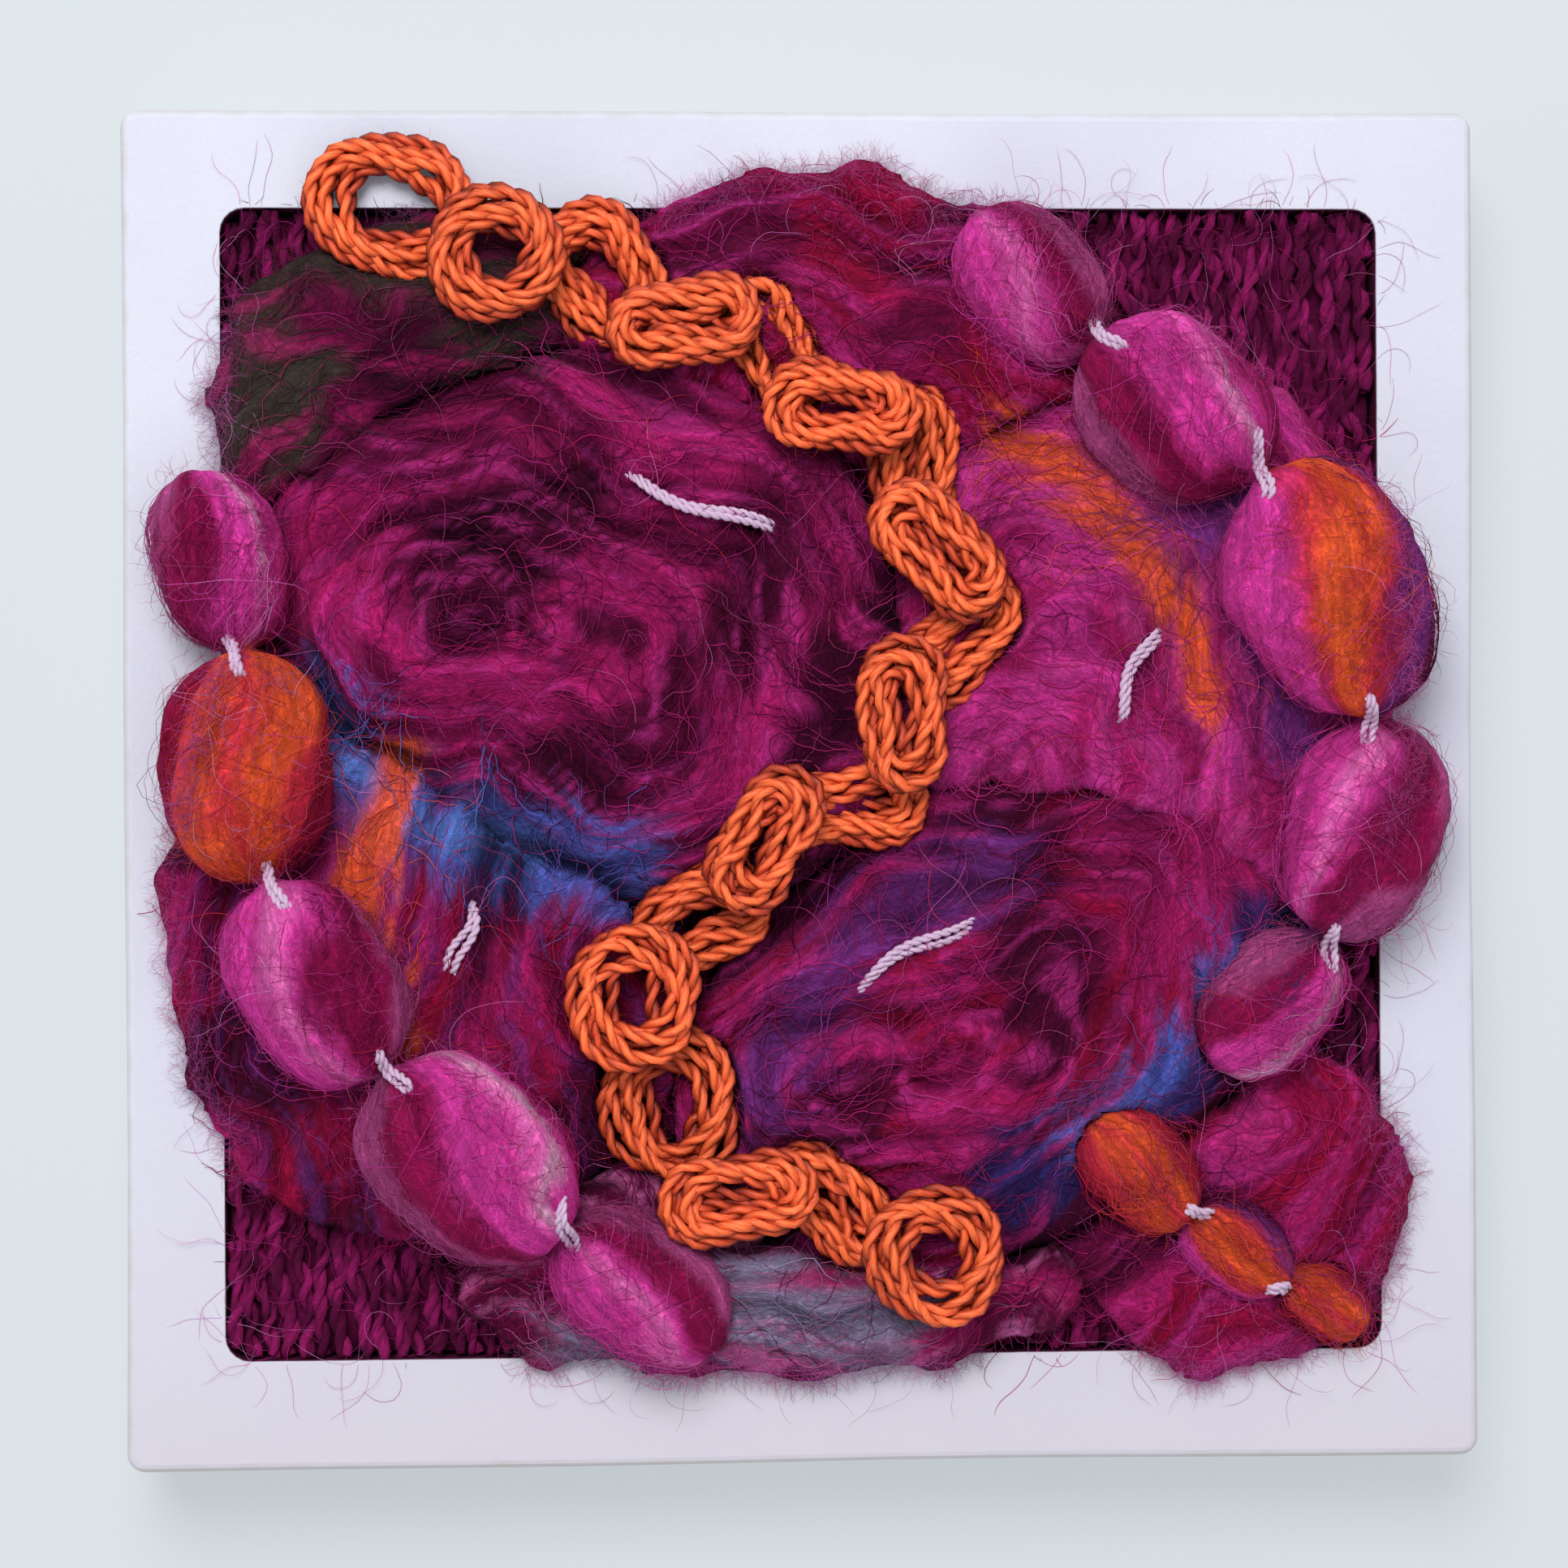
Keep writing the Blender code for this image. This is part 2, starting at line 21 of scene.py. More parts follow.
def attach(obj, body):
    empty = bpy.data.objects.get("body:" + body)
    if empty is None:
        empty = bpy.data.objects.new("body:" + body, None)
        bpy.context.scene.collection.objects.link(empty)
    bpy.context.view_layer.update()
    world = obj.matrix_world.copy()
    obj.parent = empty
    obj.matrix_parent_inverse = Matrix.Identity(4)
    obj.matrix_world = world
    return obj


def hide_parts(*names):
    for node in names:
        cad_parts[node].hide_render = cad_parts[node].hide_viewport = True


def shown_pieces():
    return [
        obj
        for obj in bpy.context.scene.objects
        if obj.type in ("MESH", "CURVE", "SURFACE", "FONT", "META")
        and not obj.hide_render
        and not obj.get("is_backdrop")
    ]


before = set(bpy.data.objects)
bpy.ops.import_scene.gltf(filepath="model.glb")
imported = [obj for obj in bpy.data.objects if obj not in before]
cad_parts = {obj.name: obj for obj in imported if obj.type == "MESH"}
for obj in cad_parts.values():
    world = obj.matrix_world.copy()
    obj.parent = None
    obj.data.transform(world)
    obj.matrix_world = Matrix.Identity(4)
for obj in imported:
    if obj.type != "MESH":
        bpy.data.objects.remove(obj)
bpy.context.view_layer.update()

MM = 0.001


def add_object(name, data):
    """Puts a mesh, a curve, a lamp or a camera in the scene."""
    made = bpy.data.objects.new(name, data)
    bpy.context.scene.collection.objects.link(made)
    return made


# %% [markdown]
# ## Where it is seen from
#
# The picture lies on its back on a pale table and is looked at from almost straight above, a few degrees
# from its left. A camera can be turned by hand until the view is right, or aimed at a point: aiming keeps
# the distance and the angle as separate numbers, so that each can be changed alone.

# %% Aim the camera
CAMERA_DISTANCE = 300
CAMERA_LEAN = math.radians(2.8)  # to the left of straight above
CAMERA_ROLL = math.radians(-0.32)
CAMERA_LENS = 93.3
AIM = Vector((-1.53, 0.26, 12.0))

away = Vector((-math.sin(CAMERA_LEAN), 0, math.cos(CAMERA_LEAN)))
camera = add_object("camera", bpy.data.cameras.new("camera"))
camera.data.lens = CAMERA_LENS
camera.data.clip_start = 0.01
camera.location = (AIM + away * CAMERA_DISTANCE) * MM
rightwards = Vector((0, 1, 0)).cross(away).normalized()
level = Matrix((rightwards, away.cross(rightwards), away)).transposed()
camera.rotation_euler = (level @ Matrix.Rotation(CAMERA_ROLL, 3, "Z")).to_euler()
bpy.context.scene.camera = camera
print("camera at", [round(part, 3) for part in camera.location])

# %% [markdown]
# ## Light and table
#
# Wool needs soft light: a bright sky all round fills the hollows a little, and one broad lamp from the top
# of the picture gives each strand a lit side and a dark side. A single hard lamp would make the fine fibres
# sparkle and the frame's shadow black. The view transform is Standard, because it leaves strong dyes
# strong. The table glows a little, so that it stays pale under the lamp without lighting the wool.

# %% Set the light
SKY_COLOUR = (0.93, 0.97, 1.0, 1.0)
SKY_STRENGTH = 0.55
LAMP_PLACE = (-0.12, 0.36, 0.66)
LAMP_SIZE = 0.42
LAMP_POWER = 3.45
TABLE_COLOUR = (222, 229, 232)
TABLE_PAINT = 0.45  # how much of the table's colour is paint
TABLE_GLOW = 0.53  # and how much is glow


def dye(red, green, blue):
    """A colour from a shade card, 0 to 255 each, as the linear values that shaders take."""
    card = np.array((red, green, blue)) / 255
    return np.where(card <= 0.04045, card / 12.92, ((card + 0.055) / 1.055) ** 2.4)


sky = bpy.data.worlds.new("soft_sky")
sky.use_nodes = True
sky.node_tree.nodes["Background"].inputs["Color"].default_value = SKY_COLOUR
sky.node_tree.nodes["Background"].inputs["Strength"].default_value = SKY_STRENGTH
bpy.context.scene.world = sky
lamp = add_object("window_light", bpy.data.lights.new("window_light", "AREA"))
lamp.data.shape = "DISK"
lamp.data.size = LAMP_SIZE
lamp.data.energy = LAMP_POWER
lamp.location = LAMP_PLACE
lamp.rotation_euler = Vector(LAMP_PLACE).to_track_quat("Z", "Y").to_euler()
bpy.context.scene.view_settings.view_transform = "Standard"

# %% Make the table
def surface_of(finish):
    return finish.node_tree.nodes["Principled BSDF"]


def new_finish(name, **settings):
    """A material, with these values on its Principled shader."""
    finish = bpy.data.materials.new(name)
    finish.use_nodes = True
    for socket, value in settings.items():
        surface_of(finish).inputs[socket.replace("_", " ")].default_value = value
    return finish


def opaque(colour):
    return (*[float(part) for part in colour], 1.0)


table_colour = dye(*TABLE_COLOUR)
table_finish = new_finish("table_paper", Base_Color=opaque(table_colour * TABLE_PAINT), Roughness=0.95,
                          Emission_Color=opaque(table_colour), Emission_Strength=TABLE_GLOW)
table_mesh = bpy.data.meshes.new("table")
shape = bmesh.new()
bmesh.ops.create_grid(shape, x_segments=4, y_segments=4, size=1.5)
shape.to_mesh(table_mesh)
shape.free()
table_mesh.materials.append(table_finish)
table = add_object("table", table_mesh)
table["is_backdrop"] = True
print("table and light are set")

# %% [markdown]
# ## Small tools for finishes
#
# Every finish here is a few nodes on a Principled shader. Small helpers keep them short: one adds a node
# and plugs its inputs in, and the others mix two colours, stretch a value to a new range, do sums and make
# bumps. A plain number is typed straight into its socket.

# %% Helpers for nodes
def add_node(finish, kind, inputs=None, **settings):
    """Adds a node. An input is either a value or the output that is plugged into it."""
    made = finish.node_tree.nodes.new("ShaderNode" + kind)
    for setting, value in settings.items():
        setattr(made, setting, value)
    for socket, value in (inputs or {}).items():
        if isinstance(value, bpy.types.NodeSocket):
            finish.node_tree.links.new(value, made.inputs[socket])
        else:
            made.inputs[socket].default_value = value
    return made


def blend(finish, share, first, second):
    """Mixes two colours, and gives the output."""
    return add_node(finish, "Mix", {0: share, 6: first, 7: second}, data_type="RGBA").outputs[2]


def spread(finish, value, low, high, new_low, new_high):
    """Stretches the part of a value between low and high to a new range."""
    return add_node(finish, "MapRange", {0: value, 1: low, 2: high, 3: new_low, 4: new_high}).outputs[0]


def compute(finish, operation, *values):
    """A sum on values, each a number or an output."""
    return add_node(finish, "Math", dict(enumerate(values)), operation=operation).outputs[0]


def compute_vector(finish, operation, vector, by):
    """A sum on a vector: SCALE goes by a value, and the others by a second vector."""
    second = 3 if operation == "SCALE" else 1
    return add_node(finish, "VectorMath", {0: vector, second: by}, operation=operation).outputs[0]


def noise_at(finish, vector, scale, detail=2.0, roughness=0.5, output="Fac"):
    made = add_node(finish, "TexNoise", {"Vector": vector, "Scale": scale, "Detail": detail,
                                         "Roughness": roughness})
    return made.outputs[output]


def bumped(finish, height, strength, distance, **below):
    """The normal of a surface that is raised by this height, so many millimetres at most."""
    return add_node(finish, "Bump", {"Height": height, "Strength": strength, "Distance": distance * MM,
                                     **below}).outputs[0]


def plug(finish, output, socket):
    finish.node_tree.links.new(output, surface_of(finish).inputs[socket])


# %% [markdown]
# ## The frame
#
# The frame is one plain white piece with softened edges, and its solid already has the right shape. So it
# stays, and gets a matt paint: a faint lilac white, a very fine tooth that catches the light and a slow
# unevenness. On top of that comes painted shade: a little darker and pinker towards its foot, a thin warm
# line along the outer edges that is painted shade of the rounded edge with some rubbed wear, and dark plum
# on the walls of the window, as shade in the recess. Where each of these lies is worked out in the shader,
# from how far a place is from the frame's middle.

# %% Paint the frame
FRAME_WHITE = (231, 231, 245)
FRAME_SHADE = (223, 222, 238)
# Painted shade: towards the foot, on the outer edge line (partly rubbed wear too) and on the window's walls.
FRAME_FOOT_SHADE = (220, 211, 223)
FRAME_EDGE_SHADE_AND_WEAR = (204, 199, 190)
WALL_PAINTED_SHADE = (92, 18, 62)
# Each of these goes from where something starts to where it is complete, in millimetres.
# The thin warm line on the outer edges: painted shade of the rounded edge, with some rubbed wear.
EDGE_SHADE_OUTWARDS = (49.8, 50.4)
EDGE_SHADE_UPWARDS = (10.8, 11.7)
# Painted shade towards the foot:
FOOT_SHADE_SPAN = (-20, -50)
# Painted shade on the window's walls:
WALL_SHADE_END = (11.3, 11.7)
WALL_SHADE_START = (4, 5)
WINDOW_Y = 0.425  # the window lies a little above the frame's middle
WINDOW_HALF_WIDTH = 42.77
WINDOW_HALF_HEIGHT = 42.345

painted = new_finish("matt_white_paint", Roughness=0.62, Specular_IOR_Level=0.35)
place = add_node(painted, "TexCoord").outputs["Object"]
cloudy = noise_at(painted, place, 45.0, 3.0)
tooth = noise_at(painted, place, 2600.0)
brushed = noise_at(painted, place, 420.0, 4.0)
x, y, z = add_node(painted, "SeparateXYZ", {0: place}).outputs


def share_between(value, limits, start=0.0, end=1.0):
    """From start to end as a value goes from one of these limits to the other, in millimetres."""
    return spread(painted, value, limits[0] * MM, limits[1] * MM, start, end)


def coat(under, colour, share):
    return blend(painted, share, under, opaque(colour))


sideways = compute(painted, "ABSOLUTE", x)
outwards = compute(painted, "MAXIMUM", sideways, compute(painted, "ABSOLUTE", y))
# Painted shade of the rounded outer edge, with some rubbed wear: a thin warm line on top of the outer edges.
rough_outwards = compute(painted, "MULTIPLY_ADD", brushed, 0.8 * MM, outwards)
tone_share = compute(painted, "MULTIPLY", share_between(rough_outwards, EDGE_SHADE_OUTWARDS, 0.0, 0.75),
               share_between(z, EDGE_SHADE_UPWARDS, 0.2, 1.0))
white = coat(opaque(dye(*FRAME_WHITE)), dye(*FRAME_SHADE), spread(painted, cloudy, 0.35, 0.65, 0.0, 1.0))
white = coat(white, dye(*FRAME_SHADE) * 0.8, spread(painted, tooth, 0.3, 0.7, 0.0, 0.12))
# Painted shade: darker and pinker towards the frame's foot.
white = coat(white, dye(*FRAME_FOOT_SHADE), share_between(y, FOOT_SHADE_SPAN, 0.0, 0.75))
white = coat(white, dye(*FRAME_EDGE_SHADE_AND_WEAR), tone_share)

# %% Paint shade on the window's walls
# Painted shade in the recess: the walls of the window are coloured dark plum.
from_middle = compute(painted, "ABSOLUTE", compute(painted, "SUBTRACT", y, WINDOW_Y * MM))
inwards = compute(painted, "MAXIMUM", compute(painted, "SUBTRACT", sideways, WINDOW_HALF_WIDTH * MM),
                  compute(painted, "SUBTRACT", from_middle, WINDOW_HALF_HEIGHT * MM))
ragged = compute(painted, "MULTIPLY_ADD", brushed, -0.6 * MM, z)
wall_shade = compute(painted, "MULTIPLY", share_between(inwards, (0, 0.03), 1.0, 0.0),
                share_between(ragged, WALL_SHADE_END, 1.0, 0.0))
wall_shade = compute(painted, "MULTIPLY", wall_shade, share_between(z, WALL_SHADE_START))
plug(painted, coat(white, dye(*WALL_PAINTED_SHADE), wall_shade), "Base Color")
grain = bumped(painted, tooth, 0.35, 0.06)
plug(painted, bumped(painted, brushed, 0.25, 0.1, Normal=grain), "Normal")

frame_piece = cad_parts["frame"]
for material_slot in frame_piece.material_slots:
    material_slot.material = painted
print("frame painted")

# %% [markdown]
# ## The finish of wool
#
# Wool has no weave. What the eye reads is thousands of strands that run side by side, so the finish needs
# to know which way they run. Each piece carries two attributes: "lay", which counts millimetres across the
# strands and changes slowly along them, and "shade", the dyed colour. Noise read at "lay" comes out as
# long streaks. They lighten and darken the dye, and raise a bump like combed fibre.

# %% Mix the wool finish
def curls_at(finish, vector, scale, width):
    """Thin tangled lines: the places where a noise is close to its middle value."""
    level = compute(finish, "SUBTRACT", noise_at(finish, vector, scale, 1.0), 0.5)
    return spread(finish, compute(finish, "ABSOLUTE", level), 0.0, width, 1.0, 0.0)


def wool_finish(name, strand, tuft, contrast, tangle, bump):
    """Streaked and tangled fibre. "strand" and "tuft" are how many streaks lie in a millimetre."""
    finish = new_finish(name, Roughness=0.9, Specular_IOR_Level=0.05, Sheen_Weight=0.03,
                        Sheen_Roughness=0.5, Sheen_Tint=(1.0, 0.5, 0.8, 1.0))
    lay = add_node(finish, "Attribute", attribute_name="lay").outputs["Vector"]
    shade = add_node(finish, "Attribute", attribute_name="shade").outputs["Color"]
    place = add_node(finish, "TexCoord").outputs["Object"]
    curl = noise_at(finish, place, 330.0, 3.0, output="Color")
    curl = compute_vector(finish, "ADD", curl, (-0.5, -0.5, -0.5))
    lay = compute_vector(finish, "ADD", lay, compute_vector(finish, "SCALE", curl, 1.6))
    long_lay = compute_vector(finish, "MULTIPLY", lay, (1.0, 2.2, 2.2))
    fine = noise_at(finish, lay, strand, 3.0, 0.6)
    broad = noise_at(finish, lay, tuft)
    curls = compute(finish, "MAXIMUM", curls_at(finish, long_lay, 1.3, 0.035),
                    curls_at(finish, long_lay, 2.1, 0.05))
    curls = compute(finish, "MAXIMUM", curls, curls_at(finish, place, 620.0, 0.03))
    lit = compute(finish, "MULTIPLY", spread(finish, fine, 0.3, 0.7, 1.0 - contrast, 1.0 + contrast),
                  spread(finish, broad, 0.3, 0.7, 0.68, 1.3))
    lit = compute(finish, "MULTIPLY", lit,
                  spread(finish, curls, 0.0, 1.0, 1.0 - 0.35 * tangle, 1.0 + tangle))
    plug(finish, compute_vector(finish, "SCALE", shade, lit), "Base Color")
    raised = compute(finish, "MULTIPLY_ADD", curls, 0.3, fine)
    plug(finish, bumped(finish, raised, bump, 0.3), "Normal")
    return finish


felted = wool_finish("felted_wool", strand=4.0, tuft=0.8, contrast=0.24, tangle=0.38, bump=0.6)
combed_slub = wool_finish("combed_slub_wool", strand=2.8, tuft=0.9, contrast=0.19, tangle=0.34, bump=0.7)
print("wool finishes mixed")

# %% [markdown]
# ## Smooth wandering
#
# Handwork wanders. A few sine waves of random heading, added up, make a value that drifts smoothly from
# place to place and is the same on every run, because the seed says which waves. It bends the strands,
# swells the mounds and changes the dyes.

# %% Helpers for arrays
def drift(places, size, seed):
    """A value of about -1 to 1 that wanders with the places, in swells of about this size."""
    choose = np.random.default_rng(seed)
    places = np.asarray(places, float) / size
    total = np.zeros(places.shape[:-1])
    for _ in range(7):
        heading = choose.normal(size=places.shape[-1])
        heading *= choose.uniform(0.6, 1.5) / np.linalg.norm(heading)
        total += np.sin(math.pi * (places @ heading) + choose.uniform(0, 2 * math.pi))
    return np.clip(total / 2.4, -1.5, 1.5)


def swells(places, kinds):
    """Several drifts added up, each given as its height, its size and its seed."""
    return sum(height * drift(places, size, seed) for height, size, seed in kinds)


def smooth(value, low, high):
    """0 below low, 1 above high, and a soft step between them."""
    share = np.clip((value - low) / (high - low), 0, 1)
    return share * share * (3 - 2 * share)


def mix(first, second, share):
    return first + (second - first) * np.asarray(share)[..., None]


def unit(vectors):
    """The vectors at a length of 1."""
    return vectors / np.maximum(np.linalg.norm(vectors, axis=-1, keepdims=True), 1e-9)


def to_left(vectors):
    """Vectors in plan, turned a quarter turn to the left."""
    return np.stack((-vectors[..., 1], vectors[..., 0]), -1)


def turned(vectors, angle):
    """Vectors in plan, turned to the left by an angle."""
    x, y = vectors[..., 0], vectors[..., 1]
    return np.stack((x * np.cos(angle) - y * np.sin(angle), x * np.sin(angle) + y * np.cos(angle)), -1)


def averaged(values, axis=0):
    """Each value averaged with its neighbours along an axis that closes on itself."""
    return (np.roll(values, 1, axis) + 2 * values + np.roll(values, -1, axis)) / 4


def pulled(heights):
    """Each height averaged with its neighbours along the last axis, except at the ends."""
    between = (heights[..., :-2] + 2 * heights[..., 1:-1] + heights[..., 2:]) / 4
    return np.concatenate((heights[..., :1], between, heights[..., -1:]), -1)


def taut(heights, ground, passes):
    """Lines of heights pulled straight between the high places of the ground."""
    for _ in range(passes):
        heights = np.maximum(pulled(heights), ground)
    return heights


def slope_of(read, places, probe):
    """How a value changes along x and along y, read a probe's length to each side."""
    return np.stack([read(places + step) - read(places - step) for step in ((probe, 0), (0, probe))], -1)


def put_attribute(mesh, name, kind, values):
    layer = mesh.attributes.new(name, kind, "POINT")
    layer.data.foreach_set("color" if kind == "FLOAT_COLOR" else "vector", np.ravel(values))


def put_shade(mesh, shade):
    put_attribute(mesh, "shade", "FLOAT_COLOR", np.column_stack((shade, np.ones(len(shade)))))


def put_lay_and_shade(mesh, lay, shade):
    put_attribute(mesh, "lay", "FLOAT_VECTOR", lay)
    put_shade(mesh, shade)


def corners_of(mesh):
    """The places of a mesh's vertices, in millimetres."""
    places = np.empty(len(mesh.vertices) * 3, np.float32)
    mesh.vertices.foreach_get("co", places)
    return places.reshape(-1, 3).astype(float) / MM


def put_corners(mesh, places):
    mesh.vertices.foreach_set("co", np.ravel(places * MM))
    mesh.update()


def normals_of(mesh):
    normals = np.empty(len(mesh.vertices) * 3, np.float32)
    mesh.vertex_normals.foreach_get("vector", normals)
    return normals.reshape(-1, 3).astype(float)


def shade_of(mesh):
    shade = np.empty(len(mesh.vertices) * 4, np.float32)
    mesh.attributes["shade"].data.foreach_get("color", shade)
    return shade.reshape(-1, 4)


def new_piece(name, mesh, finish):
    """Links a finished mesh as a piece that rides on the picture's one body."""
    mesh.name = name
    mesh.materials.clear()
    mesh.materials.append(finish)
    mesh.shade_smooth()
    piece = add_object(name, mesh)
    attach(piece, "root")
    return piece


# %% [markdown]
# ## How the wool is laid
#
# Each mound is a wisp of carded wool, wound down with the needle so that its strands sweep round a point,
# its pole. A pole inside the mound makes a swirl; a pole outside makes long arcs. So a mound needs only its
# pole, how oval the sweep is, and four dyes: the main one, a second in broad streaks, a deep one in dark
# patches, and a light one for single strands.

# %% Dyes and mounds
HOT = dye(184, 46, 130)
MAGENTA = dye(158, 26, 92)
CRIMSON = dye(136, 12, 52)
PLUM = dye(92, 12, 54)
VIOLET = dye(106, 42, 116)
NIGHT = dye(54, 6, 32)
MOSS = dye(54, 46, 42)
SMOKE = dye(126, 116, 146)
BERRY = dye(138, 20, 74)
BLUE = dye(72, 84, 166)
SKY_BLUE = dye(86, 112, 190)
NAVY = dye(42, 36, 96)
ORANGE = dye(222, 84, 44)
EMBER = dye(196, 44, 62)
BLOOM = dye(194, 60, 138)
ROSE = dye(222, 112, 178)
HAZE = dye(220, 118, 198)
PALE = dye(232, 176, 206)
LILAC = dye(222, 190, 220)

Fleece = namedtuple("Fleece", "pole_x pole_y turn oval main second deep light tufted", defaults=[1.0])
FLEECES = {
    "wool_dark_corner": Fleece(-17, 11, -20, 0.8, MOSS, PLUM, NIGHT, MAGENTA),
    "wool_lower_edge": Fleece(3, -6, 8, 0.7, PLUM, MAGENTA, NIGHT, ROSE),
    "wool_far_corner": Fleece(12, -14, 20, 0.8, MAGENTA, CRIMSON, PLUM, HOT),
    "wool_top_edge": Fleece(-2, 6, 0, 0.8, CRIMSON, MAGENTA, PLUM, HOT),
    "wool_left_bank": Fleece(-8, -12, 70, 0.7, MAGENTA, CRIMSON, NIGHT, VIOLET),
    "wool_right_bank": Fleece(14, 2, 60, 0.8, HOT, MAGENTA, BERRY, BLOOM, 0.55),
    "wool_lower_swirl": Fleece(9, -19, 24, 0.62, MAGENTA, CRIMSON, NIGHT, HOT),
    "wool_upper_swirl": Fleece(-21, 12, -22, 0.62, MAGENTA, PLUM, NIGHT, HOT),
}

Wisp = namedtuple("Wisp", "colour width path")
WISPS = (
    Wisp(BLUE, 3.6, ((-36, 6), (-31, -1), (-23, -5), (-13, -6))),
    Wisp(SKY_BLUE, 1.7, ((-34, 3), (-28, -2.5), (-20, -4.6))),
    Wisp(NAVY, 3.0, ((15, -29), (23, -26), (30, -19), (34, -11))),
    Wisp(BLUE, 2.4, ((20, -25), (27, -20), (31, -14))),
    Wisp(SMOKE, 3.2, ((-16, -41), (-5, -37.5), (6, -39.5))),
    Wisp(SMOKE, 2.4, ((18, 43), (26, 38), (33, 32))),
    Wisp(ORANGE, 2.0, ((-30, 2), (-33, -8), (-30, -18))),
    Wisp(ORANGE, 1.9, ((15, 25.5), (22, 21), (27.5, 13), (29, 6))),
    Wisp(VIOLET, 4.0, ((28, 22), (35, 14), (36, 3))),
    Wisp(MOSS, 4.0, ((-40, 40), (-30, 40), (-22, 34))),
    Wisp(VIOLET, 3.0, ((-4, -22), (4, -10), (14, -6))),
    Wisp(NIGHT, 3.2, ((2, 8), (-1, -2), (-9, -12))),
)


LAY_SHRINK = 1.1  # how far "lay" moves in a whole turn round the pole, as a radius


def strands_at(fleece, places):
    """How far each place is across the strands, in millimetres, and its angle round the pole."""
    x = places[..., 0] - fleece.pole_x
    y = places[..., 1] - fleece.pole_y
    turn = math.radians(fleece.turn)
    along = x * math.cos(turn) + y * math.sin(turn)
    across = (y * math.cos(turn) - x * math.sin(turn)) / fleece.oval
    seed = int(abs(fleece.pole_x * 31 + fleece.pole_y))
    bent = swells(places[..., :2], ((2.4, 11, seed), (0.8, 4.5, seed + 1)))
    return np.hypot(along, across) + bent, np.arctan2(across, along)


def lay_of(across, angle):
    return np.stack((across, LAY_SHRINK * np.cos(angle), LAY_SHRINK * np.sin(angle)), -1)


def heading_at(fleece, places):
    """The way that the strands run, as a unit step in plan."""
    return unit(to_left(slope_of(lambda place: strands_at(fleece, place)[0], places, 0.15)))


def distance_to_path(places, path):
    """How far each place is from the nearest stretch of a path."""
    nearest = np.full(places.shape[:-1], 1e9)
    for start, end in zip(np.array(path, float), np.array(path[1:], float)):
        run = end - start
        from_start = places[..., :2] - start
        share = np.clip((from_start @ run) / (run @ run), 0, 1)
        nearest = np.minimum(nearest, np.linalg.norm(from_start - share[..., None] * run, axis=-1))
    return nearest


def shade_at(fleece, places):
    """The dye at each place: broad streaks, dark patches and single light strands, then the wisps."""
    lay = lay_of(*strands_at(fleece, places))
    broad = drift(lay, (2.6, 0.55, 0.55), 11) + 0.5 * drift(places[..., :2], 9, 12)
    narrow = drift(lay, (0.8, 0.3, 0.3), 13)
    shade = mix(fleece.main, fleece.second, smooth(broad, -0.1, 0.7))
    shade = mix(shade, fleece.deep, 0.92 * smooth(drift(places[..., :2], 10, 14) - 0.3 * broad, 0.1, 0.85))
    shade = mix(shade, fleece.light, 0.6 * smooth(narrow, 0.2, 1.0))
    for wisp in WISPS:
        frayed = distance_to_path(places, wisp.path) / wisp.width + 0.32 * narrow + 0.22 * broad
        shade = mix(shade, wisp.colour, 0.95 * (1 - smooth(frayed, 0.35, 1.3)))
    return shade


print(len(FLEECES), "mounds and", len(WISPS), "wisps of other dyes")

# %% [markdown]
# ## The mounds
#
# A mound's solid says where the wool is, but its facets are flat. A voxel remesh wraps it in small even
# faces, which smoothing rounds. Then every vertex moves along its normal: broad tufts first, narrow ones on
# top, both stretched along the strands, so the surface looks combed even before it has a finish.

# %% Felt the mounds
VOXEL = 0.6
# Tufts of three sizes: how high they stand, how broad they are, and their seed.
TUFTS = ((0.75, (5.0, 1.3, 1.3), 21), (0.36, (1.9, 0.9, 0.9), 22), (0.15, (0.75, 0.5, 0.5), 23))
RIM_TUFTS = ((0.6, 5.0, 24), (0.25, 2.2, 25), (0.08, 1.0, 26))  # on the walls over the frame
RIM = (37, 41)  # how far from the middle the walls start and end


def solid_copy(name):
    """A node's mesh with its corners joined."""
    mesh = bpy.data.meshes.new(name + "_copy")
    shape = bmesh.new()
    shape.from_mesh(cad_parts[name].data)
    bmesh.ops.remove_doubles(shape, verts=shape.verts, dist=1e-6)
    shape.to_mesh(mesh)
    shape.free()
    return mesh


def worked_out(carrier):
    """The mesh that an object's curve or modifiers come to. The object itself is used up."""
    graph = bpy.context.evaluated_depsgraph_get()
    mesh = bpy.data.meshes.new_from_object(carrier.evaluated_get(graph))
    bpy.data.objects.remove(carrier)
    return mesh


def applied(mesh, *modifiers):
    """The mesh with these modifiers applied, each given as its kind and its settings."""
    carrier = add_object("carrier", mesh)
    for kind, settings in modifiers:
        modifier = carrier.modifiers.new(kind.lower(), kind)
        for setting, value in settings.items():
            setattr(modifier, setting, value)
    result = worked_out(carrier)
    bpy.data.meshes.remove(mesh)
    return result


def felt_mound(name, fleece):
    """A mound's solid, wrapped in small faces and tufted along its strands."""
    mesh = applied(solid_copy(name),
                   ("REMESH", {"mode": "VOXEL", "voxel_size": VOXEL * MM}),
                   ("SMOOTH", {"factor": 0.5, "iterations": 5}))
    places, normals = corners_of(mesh), normals_of(mesh)
    lay = lay_of(*strands_at(fleece, places))
    swell = fleece.tufted * swells(lay, TUFTS) * (0.25 + 0.75 * np.clip(normals[:, 2], 0, 1))
    rim = swells(places[:, :2], RIM_TUFTS)
    rim *= smooth(1 - np.abs(normals[:, 2]), 0.1, 0.8) * smooth(np.abs(places[:, :2]).max(axis=1), *RIM)
    places += normals * (swell + rim)[:, None]
    put_corners(mesh, places)
    put_attribute(mesh, "lay", "FLOAT_VECTOR", lay)
    piece = new_piece(name + "_felt", mesh, felted)
    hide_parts(name)
    return piece


